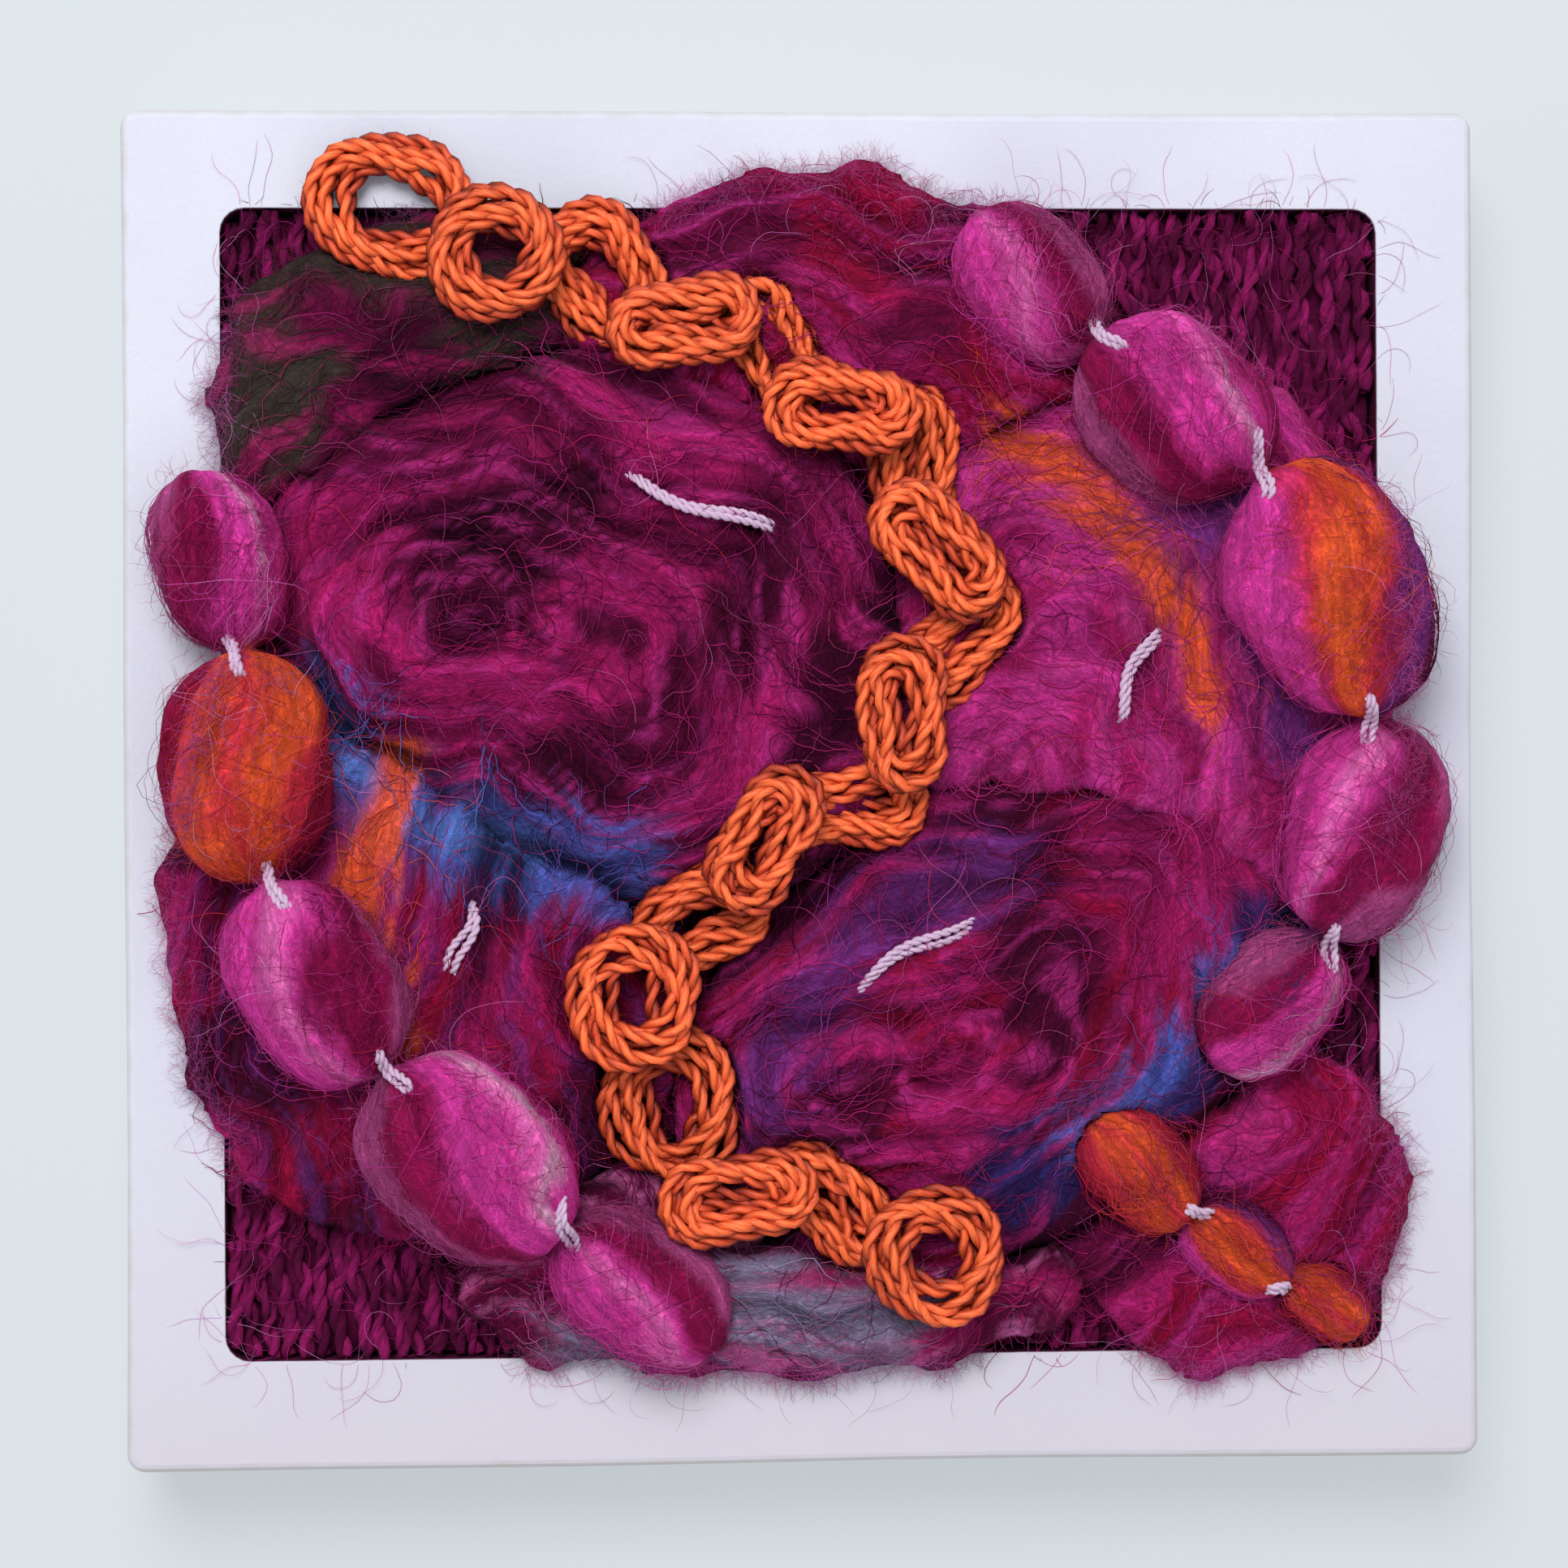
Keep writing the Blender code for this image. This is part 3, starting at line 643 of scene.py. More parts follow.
mounds = {name: felt_mound(name, fleece) for name, fleece in FLEECES.items()}
print("mounds:", sum(len(mound.data.polygons) for mound in mounds.values()), "faces")

# %% [markdown]
# ## Reading heights
#
# Fibres and threads lie on what is under them. A ray sent straight down finds that height, and a grid of
# such heights, read between its points, answers for thousands of places at once.

# %% Helpers for heights
CELL = 0.4
REACH = 52
OVER_ALL = 60
UNDER_ALL = -10


def tree_of(meshes):
    """A search tree of several meshes, in millimetres, and the number of the mesh that owns each face."""
    corners, faces, owners = [], [], []
    for number, mesh in enumerate(meshes):
        start = len(corners)
        corners.extend(map(tuple, corners_of(mesh)))
        faces.extend([start + corner for corner in face.vertices] for face in mesh.polygons)
        owners.extend([number] * len(mesh.polygons))
    return BVHTree.FromPolygons(corners, faces), owners


def look_down(tree, x, y):
    """The place that a ray sent straight down meets, if any, and the number of the face."""
    place, _, face, _ = tree.ray_cast((x, y, OVER_ALL), (0, 0, -1))
    return place, face


def height_grid(meshes):
    """Heights of the top of these meshes on a square grid, and which mesh is on top."""
    tree, owners = tree_of(meshes)
    ticks = np.arange(-REACH, REACH + CELL, CELL)
    heights = np.zeros((len(ticks), len(ticks)))
    tops = np.full((len(ticks), len(ticks)), -1)
    for row, y in enumerate(ticks):
        for column, x in enumerate(ticks):
            top, face = look_down(tree, x, y)
            if top is not None:
                heights[row, column] = top.z
                tops[row, column] = owners[face]
    return heights, tops


def read_grid(grid, places):
    """The grid's height at each place, read between its points."""
    column = np.clip((places[..., 0] + REACH) / CELL, 0, grid.shape[1] - 1.001)
    row = np.clip((places[..., 1] + REACH) / CELL, 0, grid.shape[0] - 1.001)
    left, below = column.astype(int), row.astype(int)
    u, v = column - left, row - below
    return ((grid[below, left] * (1 - u) + grid[below, left + 1] * u) * (1 - v)
            + (grid[below + 1, left] * (1 - u) + grid[below + 1, left + 1] * u) * v)


def read_nearest(grid, places):
    column = np.clip(np.rint((places[..., 0] + REACH) / CELL).astype(int), 0, grid.shape[1] - 1)
    row = np.clip(np.rint((places[..., 1] + REACH) / CELL).astype(int), 0, grid.shape[0] - 1)
    return grid[row, column]


def middle_heights(name, plan):
    """The height of a yarn's middle along its plan, from the top and the bottom of its solid."""
    tree = tree_of([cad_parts[name].data])[0]
    heights = np.full(len(plan), np.nan)
    for number, (x, y) in enumerate(plan):
        above, _ = look_down(tree, x, y)
        below = tree.ray_cast((x, y, UNDER_ALL), (0, 0, 1))[0]
        if above is not None:
            heights[number] = (above.z + below.z) / 2
    known = np.flatnonzero(~np.isnan(heights))
    return np.interp(np.arange(len(plan)), known, heights[known])


bed_meshes = [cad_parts["frame"].data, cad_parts["ground_cloth"].data,
              *[mound.data for mound in mounds.values()]]
GROUND = 1  # the number of the ground among them
FIRST_MOUND = 2  # and of the first mound
bed, bed_tops = height_grid(bed_meshes)
print(f"bed of wool up to {bed.max():.1f} mm")

# %% [markdown]
# Felted wool looks darkest where it is pressed down, because light reaches the hollows last. That shade is
# painted on: the grid tells how far each place lies under the average around it, and the dyes are darkened
# by that much; on the swells they are made a little lighter, as painted light.

# %% Dye the mounds, with painted shade in their hollows
HOLLOWS = ((0.6, 30), (0.4, 160))  # small and broad: how much each counts, and passes of softening
# Painted light on the swells and painted shade in the hollows:
SWELL_LIGHT = 1.27  # times its dye, on a swell
HOLLOW_LOSS = 0.98  # how much of that is lost in a deep hollow
UNDER_SHARE = 0.75  # the felt under the loose fibres is in their shade


def softened(grid, passes):
    """The grid with each height averaged with its neighbours, again and again."""
    for _ in range(passes):
        grid = averaged(averaged(grid, 0), 1)
    return grid


hollows = sum(weight * (softened(bed, passes) - bed) for weight, passes in HOLLOWS)


def painted_hollow_shade_at(fleece, places):
    """The dye at each place, with painted shade in the hollows and painted light on the swells."""
    depth = read_grid(hollows, places)
    return shade_at(fleece, places) * (SWELL_LIGHT - HOLLOW_LOSS * smooth(depth, -0.35, 0.8))[..., None]


for name, fleece in FLEECES.items():
    put_shade(mounds[name].data, UNDER_SHARE * painted_hollow_shade_at(fleece, corners_of(mounds[name].data)))

# %% [markdown]
# ## Tubes along routes
#
# Thread, yarn and single fibres are all tubes along a route. Blender's curves make them well: each route is
# a spline, a small polygon is its cross-section, and the curve becomes a mesh ring by ring, in order. That
# order lets every ring be given its own "lay" and "shade". Open ends are closed afterwards.

# %% Helpers for tubes
def cross_section(sides):
    outline = bpy.data.curves.new("cross_section", "CURVE")
    outline.dimensions = "2D"
    ring = outline.splines.new("POLY")
    ring.points.add(sides - 1)
    ring.use_cyclic_u = True
    for number, point in enumerate(ring.points):
        angle = 2 * math.pi * number / sides
        point.co = (math.cos(angle), math.sin(angle), 0, 1)
    return add_object("cross_section", outline)


def tube_mesh(routes, radii, sides):
    """A mesh of tubes, with the rings of each route in order."""
    outline = cross_section(sides)
    curve = bpy.data.curves.new("tubes", "CURVE")
    curve.dimensions = "3D"
    curve.bevel_mode = "OBJECT"
    curve.bevel_object = outline
    for route, radius in zip(routes, radii):
        spline = curve.splines.new("POLY")
        spline.points.add(len(route) - 1)
        spline.points.foreach_set("co", np.column_stack((route * MM, np.ones(len(route)))).ravel())
        spline.points.foreach_set("radius", np.broadcast_to(np.asarray(radius) * MM, len(route)).copy())
    mesh = worked_out(add_object("tubes", curve))
    bpy.data.objects.remove(outline)
    for spare in list(mesh.uv_layers):
        mesh.uv_layers.remove(spare)
    return mesh


def close_ends(mesh, sides):
    """Closes the open end of every tube."""
    shape = bmesh.new()
    shape.from_mesh(mesh)
    rims = [edge for edge in shape.edges if edge.is_boundary]
    bmesh.ops.holes_fill(shape, edges=rims, sides=sides)
    bmesh.ops.recalc_face_normals(shape, faces=shape.faces)
    shape.to_mesh(mesh)
    shape.free()


def lengths_along(route):
    return np.concatenate(([0], np.cumsum(np.linalg.norm(np.diff(route, axis=0), axis=1))))


LAY_GAP = 7.3  # from one tube's "lay" to the next one's, so that no two have the same streaks
LAY_ALONG = 0.06  # how fast "lay" changes along a tube


def tube_piece(name, routes, radii, sides, shades, finish, slant, girth=1.0):
    """Tubes as one piece. Their fibres slant round them by so many radians in a millimetre."""
    mesh = tube_mesh(routes, radii, sides)
    lay, shade = [], []
    around = 2 * math.pi * np.arange(sides) / sides
    for number, (route, colour) in enumerate(zip(routes, shades)):
        along = lengths_along(route)[:, None]
        angle = around[None, :] + slant * along
        start = LAY_GAP * number
        lay.append(np.stack((girth * np.cos(angle) + start, girth * np.sin(angle),
                             LAY_ALONG * along + 0 * angle), -1).reshape(-1, 3))
        colour = np.broadcast_to(colour, (len(route), 3))
        shade.append(np.repeat(colour, sides, axis=0))
    put_lay_and_shade(mesh, np.vstack(lay), np.vstack(shade))
    close_ends(mesh, sides)
    return new_piece(name, mesh, finish)


def frames_along(route, closed=False):
    """For each point of a route: the way to its left, and the way up from it."""
    if closed:
        run = np.roll(route, -1, axis=0) - np.roll(route, 1, axis=0)
    else:
        run = np.gradient(route, axis=0)
    run /= np.linalg.norm(run, axis=1, keepdims=True)
    left = unit(np.cross((0, 0, 1), run))
    return left, np.cross(run, left)


def plied(route, plies, reach, pitch, phase=0.0):
    """The routes of plies twisted round a route, each so far from its middle, once round in a pitch."""
    along = lengths_along(route)[:, None]
    left, up = frames_along(route)
    wound = []
    for ply in range(plies):
        angle = 2 * math.pi * (along / pitch + ply / plies) + phase
        wound.append(route + reach * (np.cos(angle) * left + np.sin(angle) * up))
    return wound


def read_along(marks, along, vectors):
    """What the vectors at these lengths along a route come to at each mark."""
    return np.column_stack([np.interp(marks, along, part) for part in vectors.T])


def resampled(route, spacing):
    """The route again, with evenly spaced points."""
    along = lengths_along(route)
    return read_along(np.linspace(0, along[-1], max(int(along[-1] / spacing) + 1, 3)), along, route)


def smooth_course(points, pieces):
    """A smooth course through points of any width, with so many pieces between each two of them."""
    points = np.array(points, float)
    ends = np.vstack((2 * points[0] - points[1], points, 2 * points[-1] - points[-2]))
    t = (np.arange(pieces) / pieces)[:, None]
    course = [(2 * b + (c - a) * t + (2 * a - 5 * b + 4 * c - d) * t**2
               + (3 * b - a - 3 * c + d) * t**3) / 2
              for a, b, c, d in zip(ends, ends[1:], ends[2:], ends[3:])]
    return np.vstack((*course, points[-1:]))


# %% [markdown]
# ## The orange thread
#
# The thread is cotton of two plies, about a millimetre thick, wound seven times into each small ring or
# long loop. So a loop is one route that goes round seven times while it climbs round the inside of the
# bundle, and two plies twisted along it. A bump alone could draw the twist on a plain ring, but its outline
# would stay smooth, and the outline is what makes it thread.

# %% Spin the thread's finish
def thread_finish(name, roughness, sheen, contrast):
    """Twisted fibre with a slight gloss."""
    finish = new_finish(name, Roughness=roughness, Specular_IOR_Level=0.45, Sheen_Weight=sheen,
                        Sheen_Roughness=0.35)
    lay = add_node(finish, "Attribute", attribute_name="lay").outputs["Vector"]
    shade = add_node(finish, "Attribute", attribute_name="shade").outputs["Color"]
    hair = noise_at(finish, lay, 3.2)
    lit = spread(finish, hair, 0.3, 0.7, 1 - contrast, 1 + contrast)
    toned = add_node(finish, "HueSaturation", {"Value": lit, "Color": shade}).outputs[0]
    plug(finish, toned, "Base Color")
    plug(finish, bumped(finish, hair, 0.5, 0.1), "Normal")
    return finish


cotton = thread_finish("orange_cotton", roughness=0.5, sheen=0.0, contrast=0.3)
core_spun = thread_finish("pale_core_thread", roughness=0.6, sheen=0.2, contrast=0.12)

# %% Wind the loops
STREAM = ((-31, 43), (-18, 38), (-3, 32), (8, 23), (10.5, 11), (3.5, 0), (-7.5, -8), (-12.5, -18.5),
          (-6.5, -28), (5.5, -32.5), (17, -38))
Loop = namedtuple("Loop", "along aside turn length width thick")
LOOPS = (
    Loop(1.0, 0.0, 10, 4.8, 3.8, 1.6), Loop(9.5, -0.8, 20, 3.7, 3.4, 1.6),
    Loop(17.0, 0.8, -32, 4.2, 2.8, 1.5),
    Loop(24.0, -0.8, 34, 4.4, 1.8, 1.4), Loop(30.5, 0.8, -32, 4.2, 1.75, 1.35),
    Loop(37.0, -0.8, 30, 4.4, 1.8, 1.4), Loop(43.5, 0.8, -34, 4.2, 1.75, 1.35),
    Loop(50.5, -0.8, 32, 4.6, 1.85, 1.45), Loop(57.0, 0.8, -30, 4.2, 1.75, 1.35),
    Loop(64.0, -0.8, 34, 4.4, 1.8, 1.4), Loop(71.0, 0.8, -34, 4.4, 1.75, 1.35),
    Loop(78.0, -0.8, 30, 4.2, 1.8, 1.4), Loop(85.0, 0.8, -26, 4.2, 2.2, 1.45),
    Loop(92.5, -0.8, 20, 3.9, 3.2, 1.6), Loop(101.0, 0.8, -20, 4.2, 3.4, 1.6),
    Loop(109.0, -0.8, 34, 4.4, 1.8, 1.4), Loop(116.0, 0.8, -30, 4.2, 1.75, 1.35),
    Loop(124.0, 0.0, 10, 3.8, 3.5, 1.65),
)
LOOP_SQUASH = 0.85
THREAD_RADIUS = 0.6
PLY_RADIUS = 0.34
PLY_REACH = 0.27
PLY_PITCH = 3.5
THREAD_STEP = 0.5
THREAD_SHADE = dye(252, 106, 54)
# Where each turn of the thread lies in the bundle, outwards and upwards, in thread radii.
THREAD_SEATS = ((0.3, -0.9), (-2.3, -0.8), (-1.5, 0.1), (-0.3, 0.85), (1.0, 0.55), (1.7, -0.5),
                (0.5, -0.9))
STRAY_OUT = 0.65  # how far a turn strays from its seat, outwards and upwards, in thread radii
STRAY_UP = 0.25


def place_on_stream(course, along):
    """The point that far along the stream, and the stream's direction there."""
    for here, there in zip(course, course[1:]):
        step = np.linalg.norm(there - here)
        if along <= step:
            break
        along -= step
    forward = (there - here) / step
    return here + forward * along, forward


def loop_plan(loop, course, points):
    """A loop's middle line in plan: two straight runs with a half circle at each end, evenly stepped."""
    centre, forward = place_on_stream(course, loop.along)
    centre = centre + to_left(forward) * loop.aside
    forward = turned(forward, math.radians(loop.turn))
    angle = (np.linspace(0, 2 * math.pi, 241)[:-1])[:, None]
    shift = np.where(np.cos(angle) > 0, 1, -1) * (loop.length - loop.width)
    outline = (centre + forward * (shift + np.cos(angle) * loop.width)
               + to_left(forward) * np.sin(angle) * loop.width)
    ring = np.vstack((outline, outline[:1]))
    along = lengths_along(ring)
    return read_along(np.linspace(0, along[-1], points, endpoint=False), along, ring), along[-1]


def wind_loop(order, loop, course):
    """One thread wound round and round: its route, those of its two plies, and the loop's middle line."""
    choose = np.random.default_rng(300 + order)
    plan, girth = loop_plan(loop, course, 48)
    heights = middle_heights(f"thread_loop_{order:02d}", plan)
    for _ in range(3):
        heights = averaged(heights)
    middle = np.column_stack((plan, heights))
    turns = len(THREAD_SEATS)
    laps = np.linspace(0, turns, int(girth * turns / THREAD_STEP))
    at = (laps % 1) * len(middle)
    here, share = at.astype(int), (at % 1)[:, None]
    here, there = here % len(middle), (here + 1) % len(middle)
    centre, inwards, above = (part[here] * (1 - share) + part[there] * share
                              for part in (middle, *frames_along(middle, closed=True)))
    seats = np.repeat(np.array(THREAD_SEATS), 2, axis=0)
    seats[:, 0] = np.maximum(seats[:, 0] * loop.thick / 1.5, -(loop.width - 0.45) / THREAD_RADIUS)
    knots = np.ravel([(turn + 0.15, turn + 0.85) for turn in range(turns)])
    outward = np.interp(laps, knots, seats[:, 0]) + STRAY_OUT * drift(laps[:, None], 0.24, 400 + order)
    upward = np.interp(laps, knots, seats[:, 1]) + STRAY_UP * drift(laps[:, None], 0.3, 500 + order)
    route = centre + THREAD_RADIUS * (-outward[:, None] * inwards + LOOP_SQUASH * upward[:, None] * above)
    plies = plied(route, 2, PLY_REACH, PLY_PITCH * choose.uniform(0.92, 1.08), choose.uniform(0, 6))
    return route, plies, middle


def paint_shade_on_thread(piece, middle):
    """Paints shade on a loop's thread: darker lower down and facing down, deep orange brown in its gaps."""
    places = corners_of(piece.data)
    apart = np.linalg.norm(places[:, None, :2] - middle[None, :, :2], axis=2)
    height = places[:, 2] - middle[apart.argmin(axis=1), 2]
    shade = shade_of(piece.data)
    lit = 0.12 + 1.04 * smooth(height, -0.7, 1.1)
    lit *= 0.45 + 0.62 * smooth(normals_of(piece.data)[:, 2], 0, 0.95)
    # red falls off slowest, so the painted shade turns brown
    shade[:, :3] *= np.column_stack((lit**0.85, lit**1.5, lit**1.5))
    piece.data.attributes["shade"].data.foreach_set("color", shade.ravel())


stream = smooth_course(STREAM, 12)
loops = []
for order, loop in enumerate(LOOPS, 1):
    route, plies, middle = wind_loop(order, loop, stream)
    tint = 1 + 0.06 * math.sin(2.4 * order)
    # Painted light and shade on the plies: each is lighter on its crest and darker where it dives under the
    # other.
    crests = [np.clip((ply - route)[:, 2:] / PLY_REACH, -1, 1) for ply in plies]
    shades = [THREAD_SHADE * tint * (0.85 + 0.3 * crest) for crest in crests]
    wound = tube_piece(f"orange_thread_{order:02d}", plies, [PLY_RADIUS] * 2, 5, shades, cotton,
                       slant=1.2, girth=0.8)
    paint_shade_on_thread(wound, middle)
    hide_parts(f"thread_loop_{order:02d}")
    loops.append(wound)
print("loops:", sum(len(wound.data.polygons) for wound in loops), "faces")

# %% [markdown]
# ## The core stitches
#
# Here and there the slub yarn's pale core comes up through the wool as a single stitch. It is a doubled
# thread: two strands side by side, each of two fine plies.

# %% Lay the stitches
STITCHES = {
    "core_stitch_upper": ((-1.5, 18.5), (-13.5, 23.0)),
    "core_stitch_right": ((22.5, 4.0), (26.0, 12.0)),
    "core_stitch_lower": ((3.0, -15.0), (12.5, -9.5)),
    "core_stitch_left": ((-24.5, -8.0), (-26.5, -14.0)),
}
CORE_RADIUS = 0.19
CORE_REACH = 0.15
CORE_PITCH = 1.5
STITCH_BOW = 0.5
STITCH_DIP = 1.7
STRAND_APART = 0.36


def core_strands(route, phase):
    """A doubled thread: two strands side by side that meet at both ends, each of two fine plies."""
    left, up = frames_along(route)
    share = np.linspace(0, 1, len(route))[:, None]
    aside = STRAND_APART * np.sin(share * math.pi) ** 0.6 * (0.8 + 0.35 * np.cos(share * 5 + phase))
    plies = []
    for side in (1, -1):
        strand = route + side * (left * aside + up * 0.12 * np.sin(share * 2.4))
        plies.extend(plied(strand, 2, CORE_REACH, CORE_PITCH, phase + side))
    return plies


def core_taper(points):
    """The radius of each ply: both ends of a stitch are drawn thin where they dive into the wool."""
    return CORE_RADIUS * (0.5 + 0.5 * np.sin(np.linspace(0, math.pi, points)) ** 0.5)


def core_piece(name, plies):
    return tube_piece(name, plies, [core_taper(len(ply)) for ply in plies], 6, [LILAC] * len(plies),
                      core_spun, slant=1.0)


stitches = []
for number, (name, (start, end)) in enumerate(STITCHES.items()):
    share = np.linspace(0, 1, 40)[:, None]
    run = np.subtract(end, start)
    plan = start + run * share
    heights = middle_heights(name, plan) - STITCH_DIP * np.abs(2 * share[:, 0] - 1) ** 4
    bow = to_left(run) / np.linalg.norm(run) * STITCH_BOW
    plan = plan + bow * (np.sin(share * math.pi) - 0.7 * np.sin(share * 2.3 * math.pi + number))
    plies = core_strands(resampled(np.column_stack((plan, heights)), 0.22), number)
    laid = core_piece(name + "_plies", plies)
    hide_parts(name)
    stitches.append(laid)
print(len(STITCHES), "stitches")

# %% [markdown]
# ## The slub yarn
#
# Slub yarn is a thin core with fat beads of combed wool spun round it. A bead is a tube whose radius swells
# from neck to neck, felted down to be lower than it is wide. Its strands run from neck to neck and its dyes
# lie in bands along them, so "lay" and "shade" follow the angle round the bead, with a slow twist.

# %% The runs and their bands
# Bands go from one side of a bead, over its top at 0, to the other side.
PINK = dye(210, 58, 154)
BLUSH = dye(224, 108, 178)
MAUVE = dye(174, 74, 132)
GARNET = dye(134, 16, 70)
ROSE_BANDS = ((-1, PLUM), (-0.45, PINK), (-0.24, PINK), (-0.12, BLUSH), (-0.05, PINK), (0.06, GARNET),
              (0.24, GARNET), (0.3, MAUVE), (0.5, MAUVE), (1, PLUM))
MAUVE_BANDS = ((-1, PLUM), (-0.45, MAUVE), (-0.33, MAUVE), (-0.24, GARNET), (-0.08, GARNET),
               (0.04, PINK), (0.18, PINK), (0.26, BLUSH), (0.3, PALE * 0.7), (0.35, PINK), (0.5, MAGENTA),
               (1, PLUM))
EMBER_BANDS = ((-1, PLUM), (-0.45, PINK), (-0.2, PINK), (-0.1, EMBER), (-0.04, ORANGE), (0.05, ORANGE),
               (0.14, EMBER), (0.22, VIOLET), (0.4, PLUM), (0.55, PLUM), (1, PLUM))
FLAME_BANDS = ((-1, GARNET), (-0.42, CRIMSON), (-0.28, EMBER), (-0.12, ORANGE), (-0.02, EMBER),
               (0.08, ORANGE), (0.22, ORANGE * 0.9), (0.32, EMBER), (0.5, CRIMSON), (1, PLUM))
# Each run goes through a neck, a bead, a neck and so on. A bead has a radius and its bands.
Run = namedtuple("Run", "points radii bands")
SLUB_RUNS = {
    "slub_yarn_right": Run(
        ((12.6, 42.0), (16.6, 36.6), (21.0, 32.0), (26.6, 27.6), (33.0, 22.4), (38.2, 14.2), (41.0, 5.0),
         (40.4, -3.4), (37.6, -11.0), (33.8, -16.2), (29.8, -20.6)),
        (4.6, 6.0, 6.8, 5.6, 4.4), (ROSE_BANDS, MAUVE_BANDS, EMBER_BANDS, ROSE_BANDS, MAUVE_BANDS)),
    "slub_yarn_left": Run(
        ((-45.0, 23.0), (-42.6, 16.4), (-41.0, 10.0), (-40.6, 1.8), (-39.0, -6.6), (-35.4, -14.0),
         (-30.8, -20.4), (-24.8, -26.6), (-18.2, -32.0), (-12.4, -36.4), (-6.4, -40.6)),
        (4.6, 5.8, 5.6, 6.4, 4.8), (MAUVE_BANDS, FLAME_BANDS, ROSE_BANDS, MAUVE_BANDS, ROSE_BANDS)),
    "slub_yarn_low": Run(
        ((20.4, -24.6), (24.2, -28.2), (27.8, -31.6), (31.6, -34.2), (35.0, -36.4), (38.2, -38.2),
         (41.4, -40.2)),
        (3.6, 3.1, 2.5), (FLAME_BANDS, EMBER_BANDS, FLAME_BANDS)),
}
NECK = 0.7
BEAD_BLUNTNESS = 2.7
BEAD_LENGTH = 0.95  # the share of the way to the neck that the bead fills
BEAD_STEPS = 16
BEAD_SIDES = 40
SLUB_SQUASH = 0.72
NECK_RISE = 0.3
NECK_SHOWN = 0.42  # of the smaller bead's radius, to each side of the neck
NECK_DIP = 1.9
NECK_PULL = 24  # how many times the thread over a neck is pulled straighter
BEAD_GIRTH = 6  # the radius of a bead's "lay"
BEAD_LAY_ALONG = 0.11
BEAD_TWIST = 0.02  # half turns in a millimetre, of the bands and strands
# How much a bead swells, as a share of its radius, the size of each swell, and its seed.
COMBED_SWELLS = ((0.045, 2.2, 41), (0.03, 0.9, 42), (0.015, 0.45, 43))
PLUMP_SWELLS = ((0.045, 6, 44),)


def bead_radii(beads):
    """The yarn's radius along a run, blunt where each bead leaves its neck."""
    share = np.arange(BEAD_STEPS) / BEAD_STEPS
    radii = []
    for bead in beads:
        for to_neck in (1 - share, share):
            filled = np.minimum(to_neck / BEAD_LENGTH, 1)
            radii.append(NECK + (bead - NECK) * (1 - filled**BEAD_BLUNTNESS) ** 0.5)
    return np.append(np.concatenate(radii), NECK)


def band_shade(bands, around):
    """The dye at each place round a bead, from -1 to 1."""
    stops = [stop for stop, _ in bands]
    return np.stack([np.interp(around, stops, [float(colour[part]) for _, colour in bands])
                     for part in range(3)], -1)


def run_of(name):
    """A run's middle line, its radius, and the number of the bead that each point belongs to."""
    run = SLUB_RUNS[name]
    plan = smooth_course(run.points, BEAD_STEPS)
    heights = middle_heights(name, plan)
    for _ in range(4):
        heights = pulled(heights)
    beads = np.minimum(np.arange(len(plan)) // (2 * BEAD_STEPS), len(run.radii) - 1)
    return np.column_stack((plan, heights)), bead_radii(run.radii), beads


def from_middle(route, along):
    """How far along the yarn each place is from the middle of its bead."""
    marks = lengths_along(route)
    necks = marks[::2 * BEAD_STEPS]
    bead = np.clip(np.searchsorted(necks, along, side="right") - 1, 0, len(necks) - 2)
    return along - (necks[bead] + necks[bead + 1]) / 2


def bead_shade(name, beads, around, along):
    """The dye at each place on a run's beads."""
    wander = np.stack((around * 6, along * 0.3), -1)
    bent = around + 0.08 * drift(wander, 2.2, 31) + 0.03 * drift(wander, 0.7, 32)
    bent = (bent + 1) % 2 - 1  # back to -1 to 1
    shade = np.zeros((*np.shape(around), 3))
    for number, bands in enumerate(SLUB_RUNS[name].bands):
        here = np.broadcast_to(beads == number, np.shape(around))
        shade[here] = band_shade(bands, bent)[here]
    return shade


# %% Spin the beads
def spin_beads(name):
    """A run's beads: a low tube, swelled a little unevenly, with its "lay" and its bands."""
    route, radii, beads = run_of(name)
    tall = route / (1, 1, SLUB_SQUASH)
    mesh = tube_mesh([tall], [radii], BEAD_SIDES)
    places = corners_of(mesh) * (1, 1, SLUB_SQUASH)
    left, _ = frames_along(route)
    middle = np.repeat(route, BEAD_SIDES, axis=0)
    offset = places - middle
    sideways = np.sum(offset * np.repeat(left, BEAD_SIDES, axis=0), axis=1)
    angle = np.arctan2(sideways, offset[:, 2] / SLUB_SQUASH)
    along = np.repeat(lengths_along(route), BEAD_SIDES)
    around = angle / math.pi + BEAD_TWIST * from_middle(route, along)
    lay = np.column_stack((BEAD_GIRTH * np.sin(around * math.pi), BEAD_GIRTH * np.cos(around * math.pi),
                           BEAD_LAY_ALONG * along))
    plump = swells(lay, COMBED_SWELLS) + swells(places, PLUMP_SWELLS)
    plump *= smooth(np.repeat(radii, BEAD_SIDES), 1.0, 4.5)  # the necks stay slim, so the core shows there
    put_corners(mesh, middle + offset * (1 + plump)[:, None])
    put_lay_and_shade(mesh, lay, bead_shade(name, np.repeat(beads, BEAD_SIDES), around, along))
    close_ends(mesh, BEAD_SIDES)
    piece = new_piece(name + "_beads", mesh, combed_slub)
    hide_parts(name)
    return piece


def surface_heights(tree, places):
    """The height of the surface at each place, read across where there is none."""
    hits = [look_down(tree, x, y)[0] for x, y in places[:, :2]]
    known = [number for number, hit in enumerate(hits) if hit is not None]
    return np.interp(np.arange(len(hits)), known, [hits[number].z for number in known])


